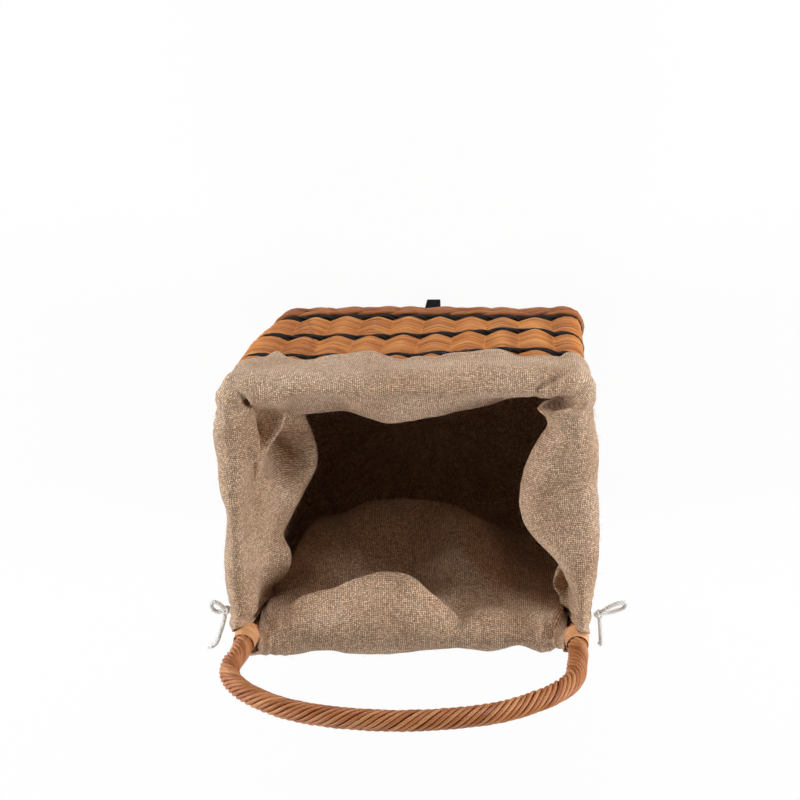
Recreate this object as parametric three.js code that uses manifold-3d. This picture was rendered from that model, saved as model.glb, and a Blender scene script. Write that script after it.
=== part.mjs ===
// Wicker firewood basket on two wheels, with a jute liner and a roped willow pull handle.
// Millimetres, +Z up. The floor is z = 0, the front is -Y and the pull handle is at the back, +Y.
// The origin is on the floor, below the middle of the basket.

import * as THREE from 'three';
import { mergeVertices } from 'three/addons/utils/BufferGeometryUtils.js';
import Module from 'manifold-3d';

const wasm = await Module();
wasm.setup();

// Gap kept between pieces that touch
const GAP = 0.3;
// How far a cutting tool runs past what it cuts
const OVERRUN = 1;
// Half the steps of a corner arc
const ARC_SEGMENTS = 2;

// Woven wall: the stake line is a rounded rectangle, given at the base, and grows towards the rim
const BASE_Z = 108;
const RING_X = 186;
const RING_Y = 138.5;
const RING_CORNER = 20;
const RIM_GROWTH_X = 0.0506;
const RIM_GROWTH_Y = 0.06;

// Layers of the wall, from the base up
const BOTTOM_BORDER_HEIGHT = 30;
const WALE_HEIGHT = 12;
const BAND_HEIGHT = 94;
const BAND_COUNT = 3;
const TOP_BORDER_HEIGHT = 32;
const WALL_HEIGHT = BOTTOM_BORDER_HEIGHT + BAND_COUNT * BAND_HEIGHT
  + (BAND_COUNT + 1) * WALE_HEIGHT + TOP_BORDER_HEIGHT;
const RIM_Z = BASE_Z + WALL_HEIGHT;

// Stakes and corner posts
const STAKES_FRONT = 8;
const STAKES_SIDE = 5;
const STAKE_WIDTH = 6.4;
const POST_RADIUS = 6;
const POST_SIDES = 8;
const RAIL_HEIGHT = 10;

// Weave: how far a row swings out of the stake line, and how it turns a corner post
const WEAVE_THICKNESS = 5;
const WEAVE_SWING = 9;
const WEAVE_OVERLAP = 0.5;
const CORNER_OUT = 12;
const CORNER_OUT_SPREAD = THREE.MathUtils.degToRad(28);
const CORNER_IN = 9.2;

// Borders, as distances from the stake line
const BOTTOM_BORDER_INSIDE = 6.4;
const BOTTOM_BORDER_OUTSIDE = 13;
const TOP_BORDER_REACH = 9;

// Plywood base
const BOARD_THICKNESS = 12;
const BOARD_X = 182;
const BOARD_Y = 134.5;
const BOARD_CORNER = 22;

// Jute liner: a bag inside the wall, turned over the rim as a cuff
const LINER_THICKNESS = 2;
const LINER_CLEARANCE = 12.2;
const LINER_TOP_Z = RIM_Z + 7;
const CUFF_LENGTH = 128;
const CUFF_CORNER = 25;
const BAG_CORNER = 6;
const LEG_HOLE_RADIUS = 16;
const LEG_HOLE_DEPTH = 14;
const SLIT_WIDTH = 5;
const SLIT_REACH = 45;

// Pull handle: the core runs down both back corners to the base
const HANDLE_RADIUS = 11.4;
const HANDLE_BORE = 8.6;
const HANDLE_TOP_Z = 723;
const HANDLE_TOP_Y = 145.1;
const BINDING_LOW_Z = RIM_Z + 2;
const BINDING_HIGH_Z = RIM_Z + 38;
const BINDING_RADIUS = 14.4;
const BINDING_BORE = 6.8;
const BOW_STRAIGHT = 22;
const BOW_SHIFT = 3.3;
const HANDLE_SIDES = 10;
const HANDLE_STEPS = 26;
const CORE_STEPS = 50;

// Wheels and axle
const WHEEL_RADIUS = 50;
const WHEEL_WIDTH = 26;
const WHEEL_INNER_X = 150;
const WHEEL_SEGMENTS = 32;
const RIM_SEGMENTS = 24;
const AXLE_SEGMENTS = 16;
const TYRE_SEAT = 40;
const AXLE_RADIUS = 5;
const AXLE_HALF_LENGTH = 184;
const AXLE_Y = 104;
const AXLE_Z = WHEEL_RADIUS;
const BUSH_BORE = 5.12;
const BUSH_RADIUS = 7;
const WASHER_RADIUS = 10;
const WASHER_THICKNESS = 2;
const WASHER_GAP = 0.4;
const CAP_RADIUS = 9;
const CAP_LENGTH = 8;
const CAP_BEVEL = 3;

// Steel straps and screws under the base
const STRAP_THICKNESS = 4;
const STRAP_TOP_Z = BASE_Z - GAP;
const BRACKET_WIDTH = 30;
const BRACKET_OUTER_X = 147;
const BRACKET_FLANGE = 38;
const BRACKET_LOW_Z = 36;
const FOOT_WIDTH = 18;
const FOOT_X = -2.5;
const FOOT_FRONT_Y = -138;
const FOOT_FLANGE = 50;
const FOOT_SOLE = 32;
const SCREW_HEAD_RADIUS = 4.5;
const SCREW_HEAD_HEIGHT = 2.4;
const SCREW_RADIUS = 2.1;
const SCREW_LENGTH = 13;
const SCREW_POINT = 2;
const SCREW_SIDES = 8;
const SCREW_HOLE = 2.6;
const BRACKET_SCREWS_X = 121;
const BRACKET_SCREW_SPACING = 16;
const FOOT_SCREWS_Y = [-120, -100];

// Cotton ties that close the liner's slits
const TIE_RADIUS = 2;
const TIE_SIDES = 8;
const TIE_STEPS = 14;
const TIE_KNOT_RADIUS = 4.5;
const TIE_KNOT_RINGS = 6;
const TIE_KNOTS = { left: [-214.9, 122.1, 490], right: [216.3, 118.9, 490] };

const FINISH = {
  willow: { color: 0xb9733a, roughness: 0.5, metalness: 0 },
  border: { color: 0xa45f30, roughness: 0.55, metalness: 0 },
  blackWillow: { color: 0x1d1a19, roughness: 0.5, metalness: 0 },
  peeledWillow: { color: 0xc79a66, roughness: 0.5, metalness: 0 },
  plywood: { color: 0xb08a5c, roughness: 0.7, metalness: 0 },
  jute: { color: 0xa68a6a, roughness: 0.95, metalness: 0 },
  cotton: { color: 0xe9e6df, roughness: 0.9, metalness: 0 },
  blackSteel: { color: 0x141518, roughness: 0.45, metalness: 0.6 },
  zincSteel: { color: 0xa9abae, roughness: 0.35, metalness: 0.9 },
  rubber: { color: 0x1a1a1b, roughness: 0.85, metalness: 0 },
  plastic: { color: 0x2a2b2d, roughness: 0.5, metalness: 0 },
  nylon: { color: 0xd9d5c8, roughness: 0.5, metalness: 0 },
};

const basket = new THREE.Group();

function addPart(name, geometry, finish) {
  const mesh = new THREE.Mesh(geometry, new THREE.MeshStandardMaterial(finish));
  mesh.name = name;
  basket.add(mesh);
}

// Solids, cutting and joining

function toSolid(geometry) {
  const bare = geometry.clone();
  bare.deleteAttribute('normal');
  bare.deleteAttribute('uv');
  const merged = mergeVertices(bare);
  return new wasm.Manifold(new wasm.Mesh({
    numProp: 3,
    vertProperties: new Float32Array(merged.attributes.position.array),
    triVerts: new Uint32Array(merged.index.array),
  }));
}

function toGeometry(solid) {
  const { vertProperties, triVerts } = solid.getMesh();
  const geometry = new THREE.BufferGeometry();
  geometry.setAttribute('position', new THREE.BufferAttribute(vertProperties, 3));
  geometry.setIndex(new THREE.BufferAttribute(triVerts, 1));
  geometry.computeVertexNormals();
  return geometry;
}

function join(...geometries) {
  return toGeometry(geometries.map(toSolid).reduce((whole, piece) => whole.add(piece)));
}

function cut(geometry, ...tools) {
  return toGeometry(tools.map(toSolid).reduce((whole, tool) => whole.subtract(tool), toSolid(geometry)));
}

// Sections and simple sweeps

function circlePoints(radius, sides) {
  return Array.from({ length: sides }, (_, i) => {
    const angle = 2 * Math.PI * (i + 0.5) / sides;
    return new THREE.Vector2(radius * Math.cos(angle), radius * Math.sin(angle));
  });
}

function disc(radius, sides, bore = 0) {
  const shape = new THREE.Shape(circlePoints(radius, sides));
  if (bore > 0) shape.holes.push(new THREE.Path(circlePoints(bore, sides)));
  return shape;
}

function prism(shape, low, high) {
  const options = { depth: high - low, bevelEnabled: false, curveSegments: ARC_SEGMENTS };
  const geometry = new THREE.ExtrudeGeometry(shape, options);
  return geometry.translate(0, 0, low);
}

function sweep(shape, path, steps) {
  return new THREE.ExtrudeGeometry(shape, { steps, bevelEnabled: false, extrudePath: path });
}

function bar(shape, from, to) {
  return sweep(shape, new THREE.LineCurve3(from, to), 1);
}

// Turned pieces: a closed profile of [radius, along] points, turned about the X axis
function turned(profile, segments) {
  const points = profile.map(([radius, along]) => new THREE.Vector2(radius, along));
  return new THREE.LatheGeometry(points, segments).rotateZ(-Math.PI / 2);
}

function roundedRect(path, halfX, halfY, radius) {
  const x = halfX - radius;
  const y = halfY - radius;
  path.absarc(x, y, radius, 0, 0.5 * Math.PI, false);
  path.absarc(-x, y, radius, 0.5 * Math.PI, Math.PI, false);
  path.absarc(-x, -y, radius, Math.PI, 1.5 * Math.PI, false);
  path.absarc(x, -y, radius, 1.5 * Math.PI, 2 * Math.PI, false);
  return path;
}

// The walls lean out: everything woven is drawn upright and then grown with its height

function growth(z, rimGrowth) {
  return 1 + rimGrowth * (z - BASE_Z) / WALL_HEIGHT;
}

function leanPoint(x, y, z) {
  return new THREE.Vector3(x * growth(z, RIM_GROWTH_X), y * growth(z, RIM_GROWTH_Y), z);
}

function lean(geometry) {
  const position = geometry.attributes.position;
  for (let i = 0; i < position.count; i += 1) {
    const moved = leanPoint(position.getX(i), position.getY(i), position.getZ(i));
    position.setXYZ(i, moved.x, moved.y, moved.z);
  }
  return geometry;
}

// A band that follows the stake line, between two distances from it
function ringBand(inside, outside, low, high, innerCorner, outerCorner) {
  const shape = roundedRect(new THREE.Shape(), RING_X + outside, RING_Y + outside, outerCorner);
  shape.holes.push(roundedRect(new THREE.Path(), RING_X + inside, RING_Y + inside, innerCorner));
  return lean(prism(shape, low, high));
}

// Stakes and posts in their order around the basket

const CORNER_INSET = RING_CORNER * (1 - Math.SQRT1_2);
const POST_X = RING_X - CORNER_INSET;
const POST_Y = RING_Y - CORNER_INSET;

function stakePlaces() {
  const places = [];
  const walls = [
    { post: [1, -1], count: STAKES_SIDE, normal: [1, 0] },
    { post: [1, 1], count: STAKES_FRONT, normal: [0, 1] },
    { post: [-1, 1], count: STAKES_SIDE, normal: [-1, 0] },
    { post: [-1, -1], count: STAKES_FRONT, normal: [0, -1] },
  ];
  for (const { post, count, normal } of walls) {
    const diagonal = Math.atan2(post[1], post[0]);
    places.push({ corner: true, x: post[0] * POST_X, y: post[1] * POST_Y, angle: diagonal });
    for (let i = 1; i <= count; i += 1) {
      const along = 1 - 2 * i / (count + 1);
      const x = normal[0] * RING_X + normal[1] * along * POST_X;
      const y = normal[1] * RING_Y - normal[0] * along * POST_Y;
      places.push({ corner: false, x, y, angle: Math.atan2(normal[1], normal[0]) });
    }
  }
  return places;
}

// The middle line of one woven row: outside one stake and inside the next
function rowLine(phase) {
  const line = [];
  const step = (place, distance, turn = 0) => line.push(new THREE.Vector2(
    place.x + distance * Math.cos(place.angle + turn),
    place.y + distance * Math.sin(place.angle + turn),
  ));
  stakePlaces().forEach((place, i) => {
    const outside = (i + phase) % 2 === 0;
    if (!place.corner) {
      step(place, outside ? WEAVE_SWING : -WEAVE_SWING);
    } else if (outside) {
      step(place, CORNER_OUT, -CORNER_OUT_SPREAD);
      step(place, CORNER_OUT, CORNER_OUT_SPREAD);
    } else {
      step(place, -CORNER_IN);
    }
  });
  return line;
}

// The line moved sideways, outwards for a positive distance, with mitred corners
function offsetLine(line, distance) {
  const count = line.length;
  const normals = line.map((point, i) => {
    const next = line[(i + 1) % count];
    return new THREE.Vector2(next.y - point.y, point.x - next.x).normalize();
  });
  return line.map((point, i) => {
    const before = normals[(i + count - 1) % count];
    const after = normals[i];
    const mitre = before.clone().add(after).multiplyScalar(distance / (1 + before.dot(after)));
    return point.clone().add(mitre);
  });
}

function wovenRow(phase, low, high) {
  const line = rowLine(phase);
  const shape = new THREE.Shape(offsetLine(line, WEAVE_THICKNESS / 2));
  shape.holes.push(new THREE.Path(offsetLine(line, -WEAVE_THICKNESS / 2)));
  return lean(prism(shape, low, high));
}

// Two rows on opposite sides of the stakes, joined where they cross
function wovenBand(low, high) {
  const middle = (low + high) / 2;
  const lower = wovenRow(0, low, middle + WEAVE_OVERLAP / 2);
  const upper = wovenRow(1, middle - WEAVE_OVERLAP / 2, high);
  return join(lower, upper);
}

// Woven wall, from the base up

function makeWall() {
  let z = BASE_Z;
  const layer = (height) => {
    const low = z + GAP / 2;
    z += height;
    return [low, z - GAP / 2];
  };
  const border = layer(BOTTOM_BORDER_HEIGHT);
  addPart('bottom_border', ringBand(BOTTOM_BORDER_INSIDE, BOTTOM_BORDER_OUTSIDE, ...border,
    RING_CORNER + BOTTOM_BORDER_INSIDE, RING_CORNER + BOTTOM_BORDER_OUTSIDE), FINISH.border);
  for (let i = 1; i <= BAND_COUNT; i += 1) {
    addPart(`black_wale_${i}`, wovenRow(1, ...layer(WALE_HEIGHT)), FINISH.blackWillow);
    addPart(`willow_band_${i}`, wovenBand(...layer(BAND_HEIGHT)), FINISH.willow);
  }
  addPart(`black_wale_${BAND_COUNT + 1}`, wovenRow(1, ...layer(WALE_HEIGHT)), FINISH.blackWillow);
  const [low, high] = layer(TOP_BORDER_HEIGHT);
  const rim = ringBand(-TOP_BORDER_REACH, TOP_BORDER_REACH, low, high,
    RING_CORNER - TOP_BORDER_REACH, RING_CORNER + TOP_BORDER_REACH);
  const legHoles = [-1, 1].map((side) => legBar(side, POST_RADIUS + GAP, low - OVERRUN, high + OVERRUN));
  addPart('top_border', cut(rim, ...legHoles), FINISH.border);
}

const STAKE_LOW_Z = BASE_Z + GAP;
const STAKE_HIGH_Z = RIM_Z - TOP_BORDER_HEIGHT - GAP;

// The stakes of one wall stand on a rail that is nailed to the edge of the base board
function stakeComb(count, postDistance) {
  const half = STAKE_WIDTH / 2;
  const railHalf = postDistance - POST_RADIUS - STAKE_WIDTH;
  const railTop = STAKE_LOW_Z + RAIL_HEIGHT;
  const outline = [[-railHalf, STAKE_LOW_Z], [railHalf, STAKE_LOW_Z], [railHalf, railTop]];
  for (let i = count; i >= 1; i -= 1) {
    const along = postDistance * (2 * i / (count + 1) - 1);
    outline.push([along + half, railTop], [along + half, STAKE_HIGH_Z]);
    outline.push([along - half, STAKE_HIGH_Z], [along - half, railTop]);
  }
  outline.push([-railHalf, railTop]);
  const shape = new THREE.Shape(outline.map(([x, y]) => new THREE.Vector2(x, y)));
  return prism(shape, -half, half).rotateX(Math.PI / 2);
}

function makeStakes() {
  const long = () => stakeComb(STAKES_FRONT, POST_X);
  const short = () => stakeComb(STAKES_SIDE, POST_Y).rotateZ(Math.PI / 2);
  addPart('front_stakes', lean(long().translate(0, -RING_Y, 0)), FINISH.willow);
  addPart('back_stakes', lean(long().translate(0, RING_Y, 0)), FINISH.willow);
  addPart('left_stakes', lean(short().translate(-RING_X, 0, 0)), FINISH.willow);
  addPart('right_stakes', lean(short().translate(RING_X, 0, 0)), FINISH.willow);
  for (const [name, side] of [['left', -1], ['right', 1]]) {
    const low = leanPoint(side * POST_X, -POST_Y, STAKE_LOW_Z);
    const high = leanPoint(side * POST_X, -POST_Y, STAKE_HIGH_Z);
    addPart(`front_${name}_post`, bar(disc(POST_RADIUS, POST_SIDES), low, high), FINISH.willow);
  }
}

// Screw places under the base board, as [x, y]
function bracketScrews(side) {
  return [-1, 1].map((end) => [side * BRACKET_SCREWS_X, AXLE_Y + end * BRACKET_SCREW_SPACING / 2]);
}

const FOOT_SCREWS = FOOT_SCREWS_Y.map((y) => [FOOT_X, y]);

function makeBase() {
  const shape = roundedRect(new THREE.Shape(), BOARD_X, BOARD_Y, BOARD_CORNER);
  for (const [x, y] of [...bracketScrews(-1), ...bracketScrews(1), ...FOOT_SCREWS]) {
    const hole = circlePoints(SCREW_HOLE, SCREW_SIDES).map((point) => point.add(new THREE.Vector2(x, y)));
    shape.holes.push(new THREE.Path(hole));
  }
  addPart('base_board', prism(shape, BASE_Z, BASE_Z + BOARD_THICKNESS), FINISH.plywood);
}

// Pull handle

function legPoint(side, z) {
  return leanPoint(side * POST_X, POST_Y, z);
}

function legBar(side, radius, low, high, bore = 0) {
  return bar(disc(radius, 2 * POST_SIDES, bore), legPoint(side, low), legPoint(side, high));
}

// Points of the bow on the right half, from the leg to the top; the whole bow leans a little to the right
const BOW_RIGHT = [
  [192, 142.4, 590], [190.5, 142.9, 612], [183.5, 143.3, 633], [172, 143.7, 651], [160, 144, 665],
  [141.5, 144.3, 680.5], [125.5, 144.5, 692], [96, 144.8, 707], [50, 145, 718.5],
];

function bowCurve() {
  const right = BOW_RIGHT.map(([x, y, z]) => new THREE.Vector3(x + BOW_SHIFT, y, z));
  const left = BOW_RIGHT.map(([x, y, z]) => new THREE.Vector3(BOW_SHIFT - x, y, z)).reverse();
  const top = new THREE.Vector3(BOW_SHIFT, HANDLE_TOP_Y, HANDLE_TOP_Z);
  const heights = [BINDING_HIGH_Z + GAP, BINDING_HIGH_Z + BOW_STRAIGHT];
  const foot = (side) => heights.map((z) => legPoint(side, z));
  return new THREE.CatmullRomCurve3([...foot(1), ...right, top, ...left, ...foot(-1).reverse()]);
}

function makeHandle() {
  const bow = bowCurve();
  const core = new THREE.CurvePath();
  core.add(new THREE.LineCurve3(legPoint(1, STAKE_LOW_Z), bow.getPoint(0)));
  core.add(bow);
  core.add(new THREE.LineCurve3(bow.getPoint(1), legPoint(-1, STAKE_LOW_Z)));
  addPart('handle_core', sweep(disc(POST_RADIUS, POST_SIDES), core, CORE_STEPS), FINISH.willow);
  const sleeveSection = disc(HANDLE_RADIUS, HANDLE_SIDES, HANDLE_BORE);
  addPart('handle_wrap', sweep(sleeveSection, bow, HANDLE_STEPS), FINISH.willow);
  for (const [name, side] of [['left', -1], ['right', 1]]) {
    const sleeve = legBar(side, BINDING_RADIUS, BINDING_LOW_Z, BINDING_HIGH_Z, BINDING_BORE);
    addPart(`${name}_handle_binding`, sleeve, FINISH.peeledWillow);
  }
}

// Jute liner

function makeLiner() {
  const near = LINER_CLEARANCE;
  const far = LINER_CLEARANCE + LINER_THICKNESS;
  const floorZ = BASE_Z + BOARD_THICKNESS + GAP;
  const cuffZ = RIM_Z - CUFF_LENGTH;
  const foldZ = LINER_TOP_Z - LINER_THICKNESS;
  const bagCorner = BAG_CORNER + LINER_THICKNESS;
  const floorShape = roundedRect(new THREE.Shape(), RING_X - near, RING_Y - near, bagCorner);
  const bagFloor = lean(prism(floorShape, floorZ, floorZ + LINER_THICKNESS));
  const bag = ringBand(-far, -near, floorZ, LINER_TOP_Z, BAG_CORNER, bagCorner);
  const fold = ringBand(-far, far, foldZ, LINER_TOP_Z, BAG_CORNER, CUFF_CORNER + LINER_THICKNESS);
  const cuff = ringBand(near, far, cuffZ, LINER_TOP_Z, CUFF_CORNER, CUFF_CORNER + LINER_THICKNESS);
  const tools = [];
  for (const side of [-1, 1]) {
    tools.push(legBar(side, LEG_HOLE_RADIUS, LINER_TOP_Z - LEG_HOLE_DEPTH, LINER_TOP_Z + LEG_HOLE_DEPTH));
    const leg = legPoint(side, cuffZ);
    const slit = new THREE.BoxGeometry(SLIT_REACH, SLIT_WIDTH, CUFF_LENGTH + LEG_HOLE_DEPTH);
    slit.translate(SLIT_REACH / 2, 0, CUFF_LENGTH / 2);
    slit.rotateZ(side > 0 ? Math.PI / 4 : 3 * Math.PI / 4);
    tools.push(slit.translate(leg.x, leg.y, leg.z));
  }
  addPart('jute_liner', cut(join(bagFloor, bag, fold, cuff), ...tools), FINISH.jute);
}

// Cotton ties: a knot on the cuff beside each slit, one loop and one tail, as routes chosen by hand

const TIE_ROUTES = {
  right_tie_loop: [
    [220, 115.5, 490.5], [225, 109.9, 491.5], [231, 108.7, 491], [234, 113.1, 489.5],
    [232, 119.5, 488], [226.5, 122.3, 487.5], [221.1, 120.7, 488],
  ],
  right_tie_tail: [
    [218, 123.6, 490.5], [219.5, 131, 491.5], [222, 139, 491.5], [225.5, 148, 490.5],
    [228.5, 156.5, 488.5], [232, 163, 486.5], [236, 166, 485],
  ],
  left_tie_loop: [
    [-218.6, 118.7, 490.5], [-227, 112.1, 492], [-238, 107.6, 491.5], [-245.5, 108.6, 489],
    [-244.5, 114.6, 486.5], [-235, 119.1, 486], [-226, 121.3, 486.5], [-219.8, 121.7, 488],
  ],
  left_tie_tail: [
    [-216.2, 126.9, 490.5], [-216.8, 135.1, 491.5], [-217.4, 145.1, 491.5], [-217.8, 154.1, 488.5],
    [-218, 161.1, 482], [-218, 165.1, 473],
  ],
};

function makeTies() {
  for (const [side, place] of Object.entries(TIE_KNOTS)) {
    const knot = new THREE.SphereGeometry(TIE_KNOT_RADIUS, TIE_SIDES, TIE_KNOT_RINGS);
    addPart(`${side}_tie_knot`, knot.translate(...place), FINISH.cotton);
  }
  for (const [name, route] of Object.entries(TIE_ROUTES)) {
    const curve = new THREE.CatmullRomCurve3(route.map(([x, y, z]) => new THREE.Vector3(x, y, z)));
    addPart(name, sweep(disc(TIE_RADIUS, TIE_SIDES), curve, TIE_STEPS), FINISH.cotton);
  }
}

// Wheels, axle and the steel under the base

const HALF_WHEEL = WHEEL_WIDTH / 2;

const TYRE_PROFILE = [
  [TYRE_SEAT + GAP, -11], [45.5, -HALF_WHEEL], [48.6, -11], [WHEEL_RADIUS, -6],
  [WHEEL_RADIUS, 6], [48.6, 11], [45.5, HALF_WHEEL], [TYRE_SEAT + GAP, 11], [TYRE_SEAT + GAP, -11],
];

const HUB_RADIUS = 14;
const FLANGE_RADIUS = 34;
const WEB_HALF = 4;
const FLANGE_HALF = 10.5;
const RIM_PROFILE = [
  [BUSH_RADIUS + GAP, -HALF_WHEEL], [HUB_RADIUS, -HALF_WHEEL], [HUB_RADIUS, -WEB_HALF],
  [FLANGE_RADIUS, -WEB_HALF], [FLANGE_RADIUS, -FLANGE_HALF], [TYRE_SEAT, -FLANGE_HALF],
  [TYRE_SEAT, FLANGE_HALF], [FLANGE_RADIUS, FLANGE_HALF], [FLANGE_RADIUS, WEB_HALF],
  [HUB_RADIUS, WEB_HALF], [HUB_RADIUS, HALF_WHEEL], [BUSH_RADIUS + GAP, HALF_WHEEL],
  [BUSH_RADIUS + GAP, -HALF_WHEEL],
];

function ringProfile(inner, outer, half) {
  return [[inner, -half], [outer, -half], [outer, half], [inner, half], [inner, -half]];
}

const CAP_INNER_X = WHEEL_INNER_X + WHEEL_WIDTH + WASHER_THICKNESS + 3 * WASHER_GAP;
const CAP_BLIND = AXLE_HALF_LENGTH - CAP_INNER_X + GAP;
const CAP_PROFILE = [
  [0, CAP_BLIND], [AXLE_RADIUS + GAP, CAP_BLIND], [AXLE_RADIUS + GAP, 0], [CAP_RADIUS, 0],
  [CAP_RADIUS, CAP_LENGTH - CAP_BEVEL], [CAP_RADIUS - CAP_BEVEL, CAP_LENGTH], [0, CAP_LENGTH],
];

function makeWheels() {
  const wheelX = WHEEL_INNER_X + HALF_WHEEL;
  const washerX = HALF_WHEEL + WASHER_GAP + WASHER_THICKNESS / 2;
  const capX = HALF_WHEEL + WASHER_THICKNESS + 3 * WASHER_GAP;
  for (const [name, side] of [['left', -1], ['right', 1]]) {
    const place = (geometry, x) => {
      const faced = side > 0 ? geometry : geometry.rotateZ(Math.PI);
      return faced.translate(side * x, AXLE_Y, AXLE_Z);
    };
    addPart(`${name}_tyre`, place(turned(TYRE_PROFILE, WHEEL_SEGMENTS), wheelX), FINISH.rubber);
    addPart(`${name}_wheel_rim`, place(turned(RIM_PROFILE, RIM_SEGMENTS), wheelX), FINISH.plastic);
    const bush = turned(ringProfile(BUSH_BORE, BUSH_RADIUS, HALF_WHEEL), AXLE_SEGMENTS);
    addPart(`${name}_wheel_bush`, place(bush, wheelX), FINISH.nylon);
    for (const [end, direction] of [['inner', -1], ['outer', 1]]) {
      const profile = ringProfile(AXLE_RADIUS + GAP, WASHER_RADIUS, WASHER_THICKNESS / 2);
      const washer = place(turned(profile, AXLE_SEGMENTS), wheelX + direction * washerX);
      addPart(`${name}_${end}_washer`, washer, FINISH.zincSteel);
    }
    addPart(`${name}_push_cap`, place(turned(CAP_PROFILE, AXLE_SEGMENTS), wheelX + capX), FINISH.zincSteel);
  }
  const end = AXLE_HALF_LENGTH;
  const axle = turned([[0, -end], [AXLE_RADIUS, -end], [AXLE_RADIUS, end], [0, end]], AXLE_SEGMENTS);
  addPart('axle', axle.translate(0, AXLE_Y, AXLE_Z), FINISH.zincSteel);
}

function screwHole([x, y]) {
  const from = new THREE.Vector3(x, y, STRAP_TOP_Z - 2 * STRAP_THICKNESS);
  const to = new THREE.Vector3(x, y, STRAP_TOP_Z + STRAP_THICKNESS);
  return bar(disc(SCREW_HOLE, SCREW_SIDES), from, to);
}

function screw([x, y]) {
  const headTop = SCREW_HEAD_HEIGHT;
  const profile = [
    [0, 0], [SCREW_HEAD_RADIUS, 0], [SCREW_HEAD_RADIUS, headTop], [SCREW_RADIUS, headTop],
    [SCREW_RADIUS, headTop + SCREW_LENGTH - SCREW_POINT], [0, headTop + SCREW_LENGTH],
  ].map(([radius, along]) => new THREE.Vector2(radius, along));
  const headZ = STRAP_TOP_Z - STRAP_THICKNESS - GAP - SCREW_HEAD_HEIGHT;
  return new THREE.LatheGeometry(profile, SCREW_SIDES).rotateX(Math.PI / 2).translate(x, y, headZ);
}

function makeAxleBrackets() {
  const outer = BRACKET_OUTER_X;
  const web = outer - STRAP_THICKNESS;
  const flangeZ = STRAP_TOP_Z - STRAP_THICKNESS;
  const outline = [
    [web, BRACKET_LOW_Z], [outer, BRACKET_LOW_Z], [outer, STRAP_TOP_Z],
    [outer - BRACKET_FLANGE, STRAP_TOP_Z], [outer - BRACKET_FLANGE, flangeZ], [web, flangeZ],
  ];
  const shape = new THREE.Shape(outline.map(([x, z]) => new THREE.Vector2(x, z)));
  for (const [name, side] of [['left', -1], ['right', 1]]) {
    const angle = prism(shape, -BRACKET_WIDTH / 2, BRACKET_WIDTH / 2).rotateX(Math.PI / 2);
    if (side < 0) angle.rotateZ(Math.PI);
    angle.translate(0, AXLE_Y, 0);
    const boreFrom = new THREE.Vector3(side * (web - STRAP_THICKNESS), AXLE_Y, AXLE_Z);
    const boreTo = new THREE.Vector3(side * (outer + STRAP_THICKNESS), AXLE_Y, AXLE_Z);
    const bore = bar(disc(AXLE_RADIUS + GAP, AXLE_SEGMENTS), boreFrom, boreTo);
    const screws = bracketScrews(side);
    addPart(`${name}_axle_bracket`, cut(angle, bore, ...screws.map(screwHole)), FINISH.blackSteel);
    screws.forEach((place, i) => addPart(`${name}_bracket_screw_${i + 1}`, screw(place), FINISH.zincSteel));
  }
}

// The foot is one bent strap: a flange under the base, an upright and a sole on the floor
function makeFoot() {
  const front = FOOT_FRONT_Y;
  const back = front + STRAP_THICKNESS;
  const flangeZ = STRAP_TOP_Z - STRAP_THICKNESS;
  const outline = [
    [front, 0], [front + FOOT_SOLE, 0], [front + FOOT_SOLE, STRAP_THICKNESS], [back, STRAP_THICKNESS],
    [back, flangeZ], [front + FOOT_FLANGE, flangeZ], [front + FOOT_FLANGE, STRAP_TOP_Z],
    [front, STRAP_TOP_Z],
  ];
  const shape = new THREE.Shape(outline.map(([y, z]) => new THREE.Vector2(y, z)));
  const strap = prism(shape, FOOT_X - FOOT_WIDTH / 2, FOOT_X + FOOT_WIDTH / 2);
  const axes = [new THREE.Vector3(0, 1, 0), new THREE.Vector3(0, 0, 1), new THREE.Vector3(1, 0, 0)];
  strap.applyMatrix4(new THREE.Matrix4().makeBasis(...axes));
  addPart('front_foot', cut(strap, ...FOOT_SCREWS.map(screwHole)), FINISH.blackSteel);
  FOOT_SCREWS.forEach((place, i) => addPart(`foot_screw_${i + 1}`, screw(place), FINISH.zincSteel));
}

makeBase();
makeStakes();
makeWall();
makeHandle();
makeLiner();
makeTies();
makeWheels();
makeAxleBrackets();
makeFoot();

export default basket;
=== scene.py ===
# %% [markdown]
# # A wicker firewood basket on wheels
#
# The basket is woven from buff willow round upright stakes, with thin black rows between the bands.
# A jute bag lines it and is turned over the rim, a roped willow handle stands at the back, and a steel
# foot and two wheels carry it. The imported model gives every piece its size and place. This lesson
# builds the surfaces that the eye sees: rods that really weave, cloth that sags, cord that is twisted.

# %% Load the frame
import math
import random

import bmesh
import bpy
import numpy as np
from mathutils import Matrix, Vector, noise


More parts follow.
